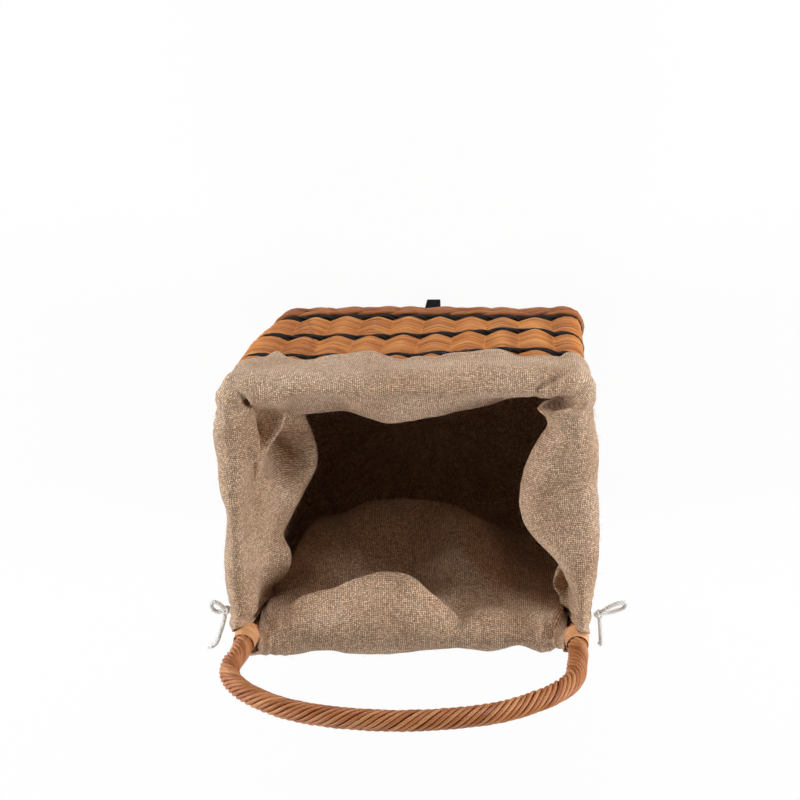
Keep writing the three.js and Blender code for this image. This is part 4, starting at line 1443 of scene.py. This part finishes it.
# %% Fold and dent the cloth
# Folds and creases: how high, how wide, and a line on the plane of the rim, in millimetres.
FOLDS = [
    (6, 6, [(187, -134), (178, -118), (171, -101), (168, -86), (172, -72)]),
    (6, 12, [(99, -100), (111, -82), (121, -60)]),
    (6, 7, [(160, -44), (141, -34), (126, -44)]),
    (-2, 6, [(191, -155), (181, -143), (170, -134), (152, -128)]),
    (-3, 6, [(59, -150), (47, -139), (33, -132), (17, -133)]),
    (-2, 4, [(-36, -136), (-43, -148)]),
    (-4.5, 3.5, [(-186, -175), (-172, -166), (-157, -155), (-147, -149)]),
    (3, 6, [(-183, -161), (-165, -150), (-153, -138)]),
    (-6, 4, [(160, 117), (166, 134)]),
    (4, 4, [(151, 119), (156, 136)]),
    (-4, 4, [(-163, 132), (-162, 145)]),
    (4, 4, [(-152, 134), (-151, 146)]),
]
FOLD_Z = (0.415, 0.450)
FOLD_STEP = 0.0020
BROAD_DENT = 0.0026
BROAD_RATE = 22
BROAD_START = Vector((3, 7, 1))
FINE_DENT = 0.0010
FINE_RATES = (60, 60, 38)
# The seam keeps the hem flatter: this share of the dents at the edge, and all of them some rows further.
HEM_SHARE = 0.3
HEM_ROWS = 10


def fold_shifts(grid):
    """How far each point is pushed out by the folds near it, as seen from the picture's side."""
    eye = np.array(CAMERA_PLACE)
    scale = (RIM_Z - eye[2]) / (grid[..., 2] - eye[2])
    flat = (eye + (grid - eye) * scale[..., None])[..., :2]
    total = np.zeros(grid.shape[:2])
    for height, wide, corners in FOLDS:
        line = curve_through([(x / 1000, y / 1000, 0) for x, y in corners], FOLD_STEP)[:, :2]
        gaps = np.min([np.linalg.norm(flat - p, axis=-1) for p in line], axis=0)
        total += height / 1000 * np.exp(-((gaps * 1000 / wide) ** 2))
    return total * np.interp(grid[..., 2], FOLD_Z, (0, 1))


def crumple(grid):
    """Adds the folds, and the small dents and puckers of coarse cloth."""
    normals = outward_normals(grid)
    shifts = np.zeros(grid.shape[:2])
    for (row, column), _ in np.ndenumerate(shifts):
        p = Vector(grid[row, column])
        broad = noise.noise(p * BROAD_RATE + BROAD_START)
        fine = noise.noise(Vector([value * rate for value, rate in zip(p, FINE_RATES)]))
        shifts[row, column] = BROAD_DENT * broad + FINE_DENT * fine
    fade = np.clip(np.arange(grid.shape[0]) / HEM_ROWS, HEM_SHARE, 1)[:, None]
    return grid + normals * (shifts * fade + fold_shifts(grid))[..., None]


print("folds", len(FOLDS))

# %% Make the sheet
FLOOR_RINGS = 7
FLOOR_SHARE = 0.96
FLOOR_SINK = 0.0055
SEAM_ROW = 4
TOP_ROWS = (14, 31)
EVEN_REACH = 4
SEAM_GAP = 0.0009
FLOOR_BAND = 0.004
CLOTH_THICKNESS = 0.0013
SOFTEN_ROUNDS = 2


def close_floor(grid):
    """Rows that run in from the bottom of the walls to the middle of the floor."""
    last = grid[-1]
    rings = []
    for ring in range(1, FLOOR_RINGS + 1):
        share = 1 - FLOOR_SHARE * ring / FLOOR_RINGS
        flat = last * np.array([share, share, 1])
        flat[:, 2] = last[:, 2] - FLOOR_SINK * min(1, ring / 2)
        rings.append(flat)
    return np.concatenate([grid, np.array(rings)])


def even_out(rows):
    """Each row averaged over its neighbours, so that threads bend gently from column to column."""
    padded = np.pad(rows, ((0, 0), (EVEN_REACH, EVEN_REACH)), mode="edge")
    shifts = range(2 * EVEN_REACH + 1)
    return np.mean([padded[:, shift:shift + rows.shape[1]] for shift in shifts], axis=0)


def liner_mesh():
    """The whole sheet: the long strip by the right, front and left walls, and the back strip."""
    points = []
    faces = []
    uvs = []
    seams = []
    columns = 0
    for start, end in ((BACK_LEFT, BACK_RIGHT + PERIMETER), (BACK_RIGHT, BACK_LEFT)):
        grid = close_floor(crumple(soften(loft_strip(start, end), SOFTEN_ROUNDS)))
        rows, count = grid.shape[:2]
        lengths = np.linalg.norm(np.diff(grid, axis=0), axis=2)
        down = even_out(np.vstack([np.zeros(count), np.cumsum(lengths, axis=0)]))
        top = grid[TOP_ROWS[0]:TOP_ROWS[1]]
        steps = np.linalg.norm(np.diff(top, axis=1), axis=2).mean(axis=0)
        across = np.concatenate([[0], np.cumsum(steps)])
        first = len(points)
        points += grid.reshape(-1, 3).tolist()
        for row in range(rows - 1):
            for column in range(count - 1):
                corner = first + row * count + column
                faces.append((corner, corner + count, corner + count + 1, corner + 1))
                for r, c in ((row, column), (row + 1, column), (row + 1, column + 1), (row, column + 1)):
                    uvs.append((across[c], down[r, c]))
        columns += count
        seams.append((grid[SEAM_ROW], outward_normals(grid)[SEAM_ROW]))
    return new_piece("jute_bag", points, faces, uvs), columns, seams


def reshape(mesh, work=None):
    """Lets a function edit a mesh, then turns all its faces outwards."""
    shape = bmesh.new()
    shape.from_mesh(mesh)
    if work:
        work(shape)
    bmesh.ops.recalc_face_normals(shape, faces=shape.faces)
    shape.to_mesh(mesh)
    shape.free()
    mesh.shade_smooth()


def join_strips(shape):
    """Joins the two strips below the cuts and closes the middle of the floor."""
    bmesh.ops.remove_doubles(shape, verts=shape.verts, dist=SEAM_GAP)
    top = min(v.co.z for v in shape.verts) + FLOOR_BAND
    open_edges = [e for e in shape.edges if e.is_boundary and max(v.co.z for v in e.verts) < top]
    bmesh.ops.holes_fill(shape, edges=open_edges, sides=len(open_edges))


liner, liner_columns, liner_seams = liner_mesh()
reshape(liner.data, join_strips)
thick = liner.modifiers.new("cloth_thickness", "SOLIDIFY")
thick.thickness = CLOTH_THICKNESS
thick.offset = 0
cloth_area = sum(f.area for f in liner.data.polygons)
print("liner", liner_columns, "columns", round(cloth_area, 3), "square metres")

# %% [markdown]
# ### Stitches and loose fibres
#
# A straight seam holds the hem, and jute sheds short fibres wherever it bends. Both are thin tubes: the
# stitches follow a row of the sheet, and each fibre stands on a face of it picked at random.

# %% Sew the hem and fray the cloth
STITCH_PITCH = 0.0075
STITCH_SHARE = 0.68
STITCH_POINTS = 6
STITCH_ENDS = (0.004, 0.006)
STITCH_LOW = 0.0004
STITCH_ARCH = 0.0007
THREAD_HALVES = (0.00035, 0.00045)
FIBRES = 2600
FIBRE_LENGTHS = (0.003, 0.009)
FIBRE_RISES = (0.25, 0.9)
FIBRE_RADIUS = 0.00006
FUZZ_DEPTH = 0.125


def sew_hem(seams):
    """Short stitches of thread, one after another, along the hem of both strips."""
    strands = Strands()
    for line, out in seams:
        far = distances(line)
        for start in np.arange(STITCH_ENDS[0], far[-1] - STITCH_ENDS[1], STITCH_PITCH):
            at = start + STITCH_PITCH * np.linspace(0, STITCH_SHARE, STITCH_POINTS)
            middle = np.stack([np.interp(at, far, line[:, axis]) for axis in range(3)], axis=1)
            normal = unit(np.stack([np.interp(at, far, out[:, axis]) for axis in range(3)], axis=1))
            lift = STITCH_LOW + STITCH_ARCH * np.sin(np.linspace(0, math.pi, STITCH_POINTS))
            strands.add(middle + normal * lift[:, None], normal, *THREAD_HALVES, 0.5, sides=6)
    return strands.make("hem_stitches")


def jute_fuzz(piece, lowest):
    """Loose fibres on the part of the sheet above a height."""
    draw = random.Random(8)
    faces = [face for face in piece.data.polygons if face.center.z > lowest]
    strands = Strands()
    for face in draw.choices(faces, k=FIBRES):
        root = np.array(face.center)
        normal = np.array(face.normal)
        aside = np.cross(normal, [draw.gauss(0, 1) for _ in range(3)])
        aside = aside / np.linalg.norm(aside)
        long = draw.uniform(*FIBRE_LENGTHS)
        rise = draw.uniform(*FIBRE_RISES)
        tip = root + (normal * rise + aside) * long
        bend = root + (normal * rise * 0.7 + aside * 0.4) * long
        line = curve_through([root, bend, tip], long / 4)
        strands.add(line, carried_normals(line, normal), FIBRE_RADIUS, FIBRE_RADIUS, 0.5, sides=3)
    return strands.make("jute_fuzz")


jute_fibre = noisy_finish(
    "jute_fibre", scale=(900, 3, 1), detail=2, stops=[(0.3, (176, 142, 104)), (0.7, (222, 190, 150))],
    bump=(0.0001, 0.4), source="UV", Roughness=0.6,
)
stitches = dress(sew_hem(liner_seams), jute_fibre)
fuzz = dress(jute_fuzz(liner, RIM_Z - FUZZ_DEPTH), jute_fibre)

dress(liner, hessian, replaced=["jute_liner"])

# %% [markdown]
# ## Hard finishes
#
# These pieces are hardly seen from above, but a part is looked at from all sides. Each still has what
# its real finish shows: the fine orange peel of powder coat, the cloudy spangle of zinc, dust on rubber
# and plies on the edge of the board.


# %% Hard finishes
def moulded(name, dark, pale):
    """Moulded plastic, with faint streaks where it flowed and a fine texture."""
    return noisy_finish(
        name, scale=(60, 60, 60), detail=3, stops=[(0.3, dark), (0.7, pale)],
        rough=(0.42, 0.55), bump=(0.0001, 0.4), relief=((2200, 2200, 2200), 1),
    )


def plywood_finish():
    """Birch plywood, with grain along x and plies on its edge."""
    finish = Finish("birch_plywood")
    place = finish.place()
    grain = finish.noise(place, (14, 160, 160), 5.0)
    height = finish.node("ShaderNodeSeparateXYZ", {0: place}).outputs[2]
    plies = finish.math("SINE", finish.math("MULTIPLY", height, 2600))
    base = finish.ramp(grain, (0.3, (168, 128, 86)), (0.7, (214, 178, 132)))
    finish.colour(finish.shade(base, finish.range(plies, -1, 1, 0.78, 1.05)))
    finish.roughness(grain, 0.55, 0.7)
    finish.bump(grain, 0.0003, 0.4)
    return finish.material


black_steel = noisy_finish(
    "black_powder_coat", scale=(90, 90, 90), detail=4, stops=[(0.35, (5, 5, 7)), (0.75, (12, 12, 14))],
    rough=(0.65, 0.8), bump=(0.0002, 0.4), relief=((1400, 1400, 1400), 2), Specular_IOR_Level=0.02,
)
zinc_steel = noisy_finish(
    "zinc_plate", scale=(240, 240, 240), detail=4, stops=[(0.3, (150, 152, 156)), (0.7, (206, 207, 208))],
    rough=(0.28, 0.45), bump=(0.0001, 0.3), Metallic=1.0,
)
rubber = noisy_finish(
    "tyre_rubber", scale=(130, 130, 130), detail=5, stops=[(0.4, (24, 24, 25)), (0.8, (62, 60, 57))],
    rough=(0.62, 0.85), bump=(0.0002, 0.5), relief=((1600, 1600, 1600), 2),
)
wheel_plastic = moulded("wheel_plastic", (32, 32, 34), (44, 44, 46))
nylon = moulded("natural_nylon", (206, 200, 182), (222, 217, 202))
plywood = plywood_finish()
for finish in (black_steel, zinc_steel, rubber, wheel_plastic, nylon, plywood):
    print("finish", finish.name)

# %% [markdown]
# ## Wheels, washers and screws
#
# These are turned parts: half a section is spun round an axis, after its sharp edges are rounded. A small
# function may then push points about as they go round: it cuts the lugs of the tyre, raises ribs between
# hub and rim, and sinks the cross in a screw head. A wheel's pieces ride on that wheel's body, so that
# they turn with it.


# %% Spin a profile
def rounded(profile, radius, closed, steps=4):
    """The profile with a small arc at each corner."""
    profile = [np.array(p, float) for p in profile]
    made = []
    for i, corner in enumerate(profile):
        if not closed and i in (0, len(profile) - 1):
            made.append(corner)
            continue
        ends = []
        for other in (profile[i - 1], profile[(i + 1) % len(profile)]):
            reach = min(radius, 0.45 * np.linalg.norm(other - corner))
            ends.append(corner + unit(other - corner) * reach)
        for t in np.linspace(0, 1, steps):
            made.append((1 - t) ** 2 * ends[0] + 2 * t * (1 - t) * corner + t * t * ends[1])
    return np.array(made)


def drop_doubles(shape):
    """Joins points that lie on each other, as they do on the axis."""
    bmesh.ops.remove_doubles(shape, verts=shape.verts, dist=1e-6)
    bmesh.ops.dissolve_degenerate(shape, edges=shape.edges, dist=1e-7)


def spin(name, profile, middle, edge, closed=True, steps=48, push=None, axis="x"):
    """A profile of (radius, place along the axis), in millimetres, spun round an axis through middle.
    edge is the radius of its rounded edges, and push moves the points about as they go round."""
    section = rounded(profile, edge, closed) / 1000
    turn = np.arange(steps)[:, None] * 2 * math.pi / steps
    reach = np.broadcast_to(section[:, 0], (steps, len(section)))
    along = np.broadcast_to(section[:, 1], reach.shape)
    if push:
        reach, along = push(turn, reach, along)
    points = np.stack([along, reach * np.cos(turn), reach * np.sin(turn)], axis=-1).reshape(-1, 3)
    if axis == "z":
        points = np.roll(points, -1, axis=1)
    count = len(section)
    faces = []
    for i in range(steps):
        for j in range(count if closed else count - 1):
            k = (j + 1) % count
            far = (i + 1) % steps * count
            faces.append((i * count + j, i * count + k, far + k, far + j))
    piece = new_piece(name, points + np.array(middle), faces)
    reshape(piece.data, drop_doubles)
    return piece


def ease(value, low, high):
    """Nothing below low, one above high, and a soft step between them."""
    return soft_step(np.clip((value - low) / (high - low), 0, 1))


print("an eased step", ease(np.array([0.0, 0.5, 1.0]), 0, 1))

# %% Turn the wheels
# Half sections in millimetres: the radius, and the place along the axle.
TYRE_PROFILE = [
    (40.1, -11), (45.5, -13), (48.6, -11), (49.7, -8), (50, -4.4), (48.7, -3.9), (48.7, -2.9), (50, -2.4),
    (50, 2.4), (48.7, 2.9), (48.7, 3.9), (50, 4.4), (49.7, 8), (48.6, 11), (45.5, 13), (40.1, 11),
]
RIM_PROFILE = [
    (7.1, -13), (14, -13), (14, -4), (34, -4), (34, -10.5), (40, -10.5), (40, 10.5), (34, 10.5), (34, 4),
    (14, 4), (14, 13), (7.1, 13),
]
BUSH_PROFILE = [(5.15, -13), (7.05, -13), (7.05, 13), (5.15, 13)]
WASHER_PROFILE = [(5.1, -1), (10, -1), (10, 1), (5.1, 1)]
CAP_PROFILE = [(0, 2.9), (5.1, 2.9), (5.1, 0), (9, 0), (9, 4.4), (6.4, 7.4), (2.5, 8), (0, 8)]
LUGS = 26
LUG_DEPTH = 0.0013
# The tyre's shoulders start and are in full at these places along the axle and at these radii.
SHOULDER_ALONG = (0.0042, 0.0052)
SHOULDER_REACH = (0.0455, 0.0475)
RIBS = 6
RIB_HEIGHT = 0.0045
WEB_MIDDLE = 0.024
WEB_HALF = 0.0105
AXLE_MIDDLE = [sum(pair) / 2 for pair in zip(*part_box("axle"))]


def cut_lugs(turn, reach, along):
    """Notches across both shoulders of a tyre."""
    wave = np.cos(LUGS * turn + np.sign(along) * 0.8)
    shoulder = ease(np.abs(along), *SHOULDER_ALONG) * ease(reach, *SHOULDER_REACH)
    return reach - LUG_DEPTH * ease(wave, 0.25, 0.75) * shoulder, along


def raise_ribs(turn, reach, along):
    """Ribs on both faces of the web between a wheel's hub and its rim."""
    rib = ease(np.cos(RIBS * turn), 0.80, 0.93)
    web = ease(-np.abs(along), -0.0062, -0.0052) * (np.abs(reach - WEB_MIDDLE) < WEB_HALF)
    return reach, along + np.sign(along) * RIB_HEIGHT * rib * web


def turn_wheel(name, side):
    """Tyre, rim, bush, washers and cap of one wheel, each in place of its node."""
    body = f"{name}_wheel"
    # Each part: its profile, the radius of its edges, the push, the steps round, the finish, slot and body.
    washer = (WASHER_PROFILE, 0.4, None, 48, zinc_steel, "zinc_steel", "basket")
    parts = {
        f"{name}_tyre": (TYRE_PROFILE, 0.5, cut_lugs, 156, rubber, "tyre_rubber", body),
        f"{name}_wheel_rim": (RIM_PROFILE, 1.2, raise_ribs, 96, wheel_plastic, "wheel_plastic", body),
        f"{name}_wheel_bush": (BUSH_PROFILE, 0.3, None, 48, nylon, "nylon", body),
        f"{name}_inner_washer": washer,
        f"{name}_outer_washer": washer,
    }
    for node, (profile, edge, push, steps, material, slot, rides) in parts.items():
        middle = (sum(corner[0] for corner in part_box(node)) / 2, *AXLE_MIDDLE[1:])
        piece = spin(f"{node}_turned", profile, middle, edge, steps=steps, push=push)
        dress(piece, material, rides, [node])
    cap = f"{name}_push_cap"
    # The cap's profile starts at the face nearest to the wheel.
    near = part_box(cap)[0 if side > 0 else 1][0]
    profile = [(radius, place * side) for radius, place in CAP_PROFILE]
    piece = spin(f"{cap}_turned", profile, (near, *AXLE_MIDDLE[1:]), 1.0, closed=False)
    dress(piece, zinc_steel, "basket", [cap])


turn_wheel("left", -1)
turn_wheel("right", 1)

# %% Turn the axle and the screws
SCREW_PROFILE = [
    (0, 0.2), (0.5, 0.2), (1.0, 0.2), (1.5, 0.22), (2.0, 0.25), (2.5, 0.3), (3.2, 0.45), (4.0, 0.8),
    (4.5, 1.4), (4.5, 2.4), (2.1, 2.4), (2.1, 13.4), (0, 15.4),
]
CROSS_DEPTH = 0.0013
AXLE_RADIUS = 5


def sink_cross(turn, reach, along):
    """The cross recess in the middle of a screw head."""
    arm = np.minimum(np.abs(np.cos(turn)), np.abs(np.sin(turn))) * reach
    inside = ease(-arm, -0.0006, -0.0004) * ease(-reach, -0.0027, -0.0021) * ease(-along, -0.0020, -0.0010)
    return reach, along + CROSS_DEPTH * inside


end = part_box("axle")[1][0] * 1000
axle_profile = [(0, -end), (AXLE_RADIUS, -end), (AXLE_RADIUS, end), (0, end)]
axle = spin("axle_turned", axle_profile, AXLE_MIDDLE, 0.8, closed=False)
dress(axle, zinc_steel, "basket", ["axle"])
for name in nodes:
    if "_screw_" in name:
        low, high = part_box(name)
        middle = ((low[0] + high[0]) / 2, (low[1] + high[1]) / 2, low[2])
        piece = spin(f"{name}_turned", SCREW_PROFILE, middle, 0.2, closed=False, push=sink_cross, axis="z")
        dress(piece, zinc_steel, "basket", [name])

# %% [markdown]
# ## Foot, brackets and board
#
# The foot is flat bar bent twice, so a rounded section is carried along a bent line. The brackets and the
# board keep their CAD shapes, with holes where they belong: their meshes are copied, freed of extra
# edges and bevelled, because no real edge is as sharp as a drawn one.

# %% Bend the foot
STRAP_CHAMFER = 0.0006
STRAP_THICKNESS = 0.004
STRAP_BEND = 0.0045
SOLE_LENGTH = 0.032


def bent_strap(name, corners, middle, width):
    """Flat bar along a line of (y, z) corners with rounded bends, in metres. Its width runs along x."""
    line = rounded([(y * 1000, z * 1000) for y, z in corners], STRAP_BEND * 1000, False, 9) / 1000
    ways = tangents(line)
    across = np.column_stack([-ways[:, 1], ways[:, 0]])
    half, rise, cut = width / 2, STRAP_THICKNESS / 2, STRAP_CHAMFER
    section = [(half - cut, rise), (half, rise - cut), (half, cut - rise), (half - cut, -rise)]
    section += [(-x, y) for x, y in reversed(section)]
    points = []
    for place, out in zip(line, across):
        for x, y in section:
            points.append((middle + x, *(place + out * y)))
    sides = len(section)
    faces = [tuple(range(sides)), tuple(reversed(range(len(points) - sides, len(points))))]
    for i in range(len(line) - 1):
        for j in range(sides):
            k = (j + 1) % sides
            faces.append((i * sides + j, (i + 1) * sides + j, (i + 1) * sides + k, i * sides + k))
    piece = new_piece(name, points, faces)
    reshape(piece.data)
    piece.modifiers.new("flat_faces", "WEIGHTED_NORMAL")
    return piece


(low_x, low_y, low_z), (high_x, high_y, high_z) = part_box("front_foot")
inset = STRAP_THICKNESS / 2
foot_line = [
    (low_y + SOLE_LENGTH, low_z + inset), (low_y + inset, low_z + inset), (low_y + inset, high_z - inset),
    (high_y, high_z - inset),
]
foot = bent_strap("foot_strap", foot_line, (low_x + high_x) / 2, high_x - low_x)
dress(foot, black_steel, "basket", ["front_foot"])

# %% Bevel the brackets and the board
FLAT_ANGLE = 0.02
SHARP_ANGLE = 0.9
BRACKET_BEVEL = 0.0006
BOARD_BEVEL = 0.0010


def bevelled(name, width, material):
    """A copy of a CAD node with its sharp edges rounded."""
    shape = bmesh.new()
    shape.from_mesh(nodes[name].data)
    shape.transform(nodes[name].matrix_world)
    bmesh.ops.remove_doubles(shape, verts=shape.verts, dist=1e-6)
    bmesh.ops.dissolve_limit(shape, angle_limit=FLAT_ANGLE, verts=shape.verts, edges=shape.edges)
    sharp = [e for e in shape.edges if len(e.link_faces) == 2 and e.calc_face_angle() > SHARP_ANGLE]
    bmesh.ops.bevel(
        shape, geom=sharp, offset=width, segments=2, affect="EDGES", profile=0.5, clamp_overlap=True,
    )
    bmesh.ops.recalc_face_normals(shape, faces=shape.faces)
    mesh = bpy.data.meshes.new(f"{name}_bevelled")
    shape.to_mesh(mesh)
    shape.free()
    mesh.shade_smooth()
    piece = bpy.data.objects.new(f"{name}_bevelled", mesh)
    bpy.context.scene.collection.objects.link(piece)
    piece.modifiers.new("flat_faces", "WEIGHTED_NORMAL")
    dress(piece, material, "basket", [name])


bevelled("left_axle_bracket", BRACKET_BEVEL, black_steel)
bevelled("right_axle_bracket", BRACKET_BEVEL, black_steel)
bevelled("base_board", BOARD_BEVEL, plywood)

# %% [markdown]
# ## Stakes
#
# The stakes, the two posts and the core of the handle keep their CAD shape, because only short lengths of
# them show between the rods. They need no more than a finish, matt and with the grain running upwards.

# %% Colour the stakes
stake_willow = noisy_finish(
    "stake_willow", scale=(900, 900, 30), detail=3, stops=[(0.3, (120, 72, 38)), (0.7, (182, 122, 72))],
    rough=(0.55, 0.75), bump=(0.0005, 0.4),
)
for name in nodes:
    if name.endswith(("_stakes", "_post")) or name == "handle_core":
        nodes[name].data.materials.clear()
        nodes[name].data.materials.append(stake_willow)
        print(name, "is", stake_willow.name)
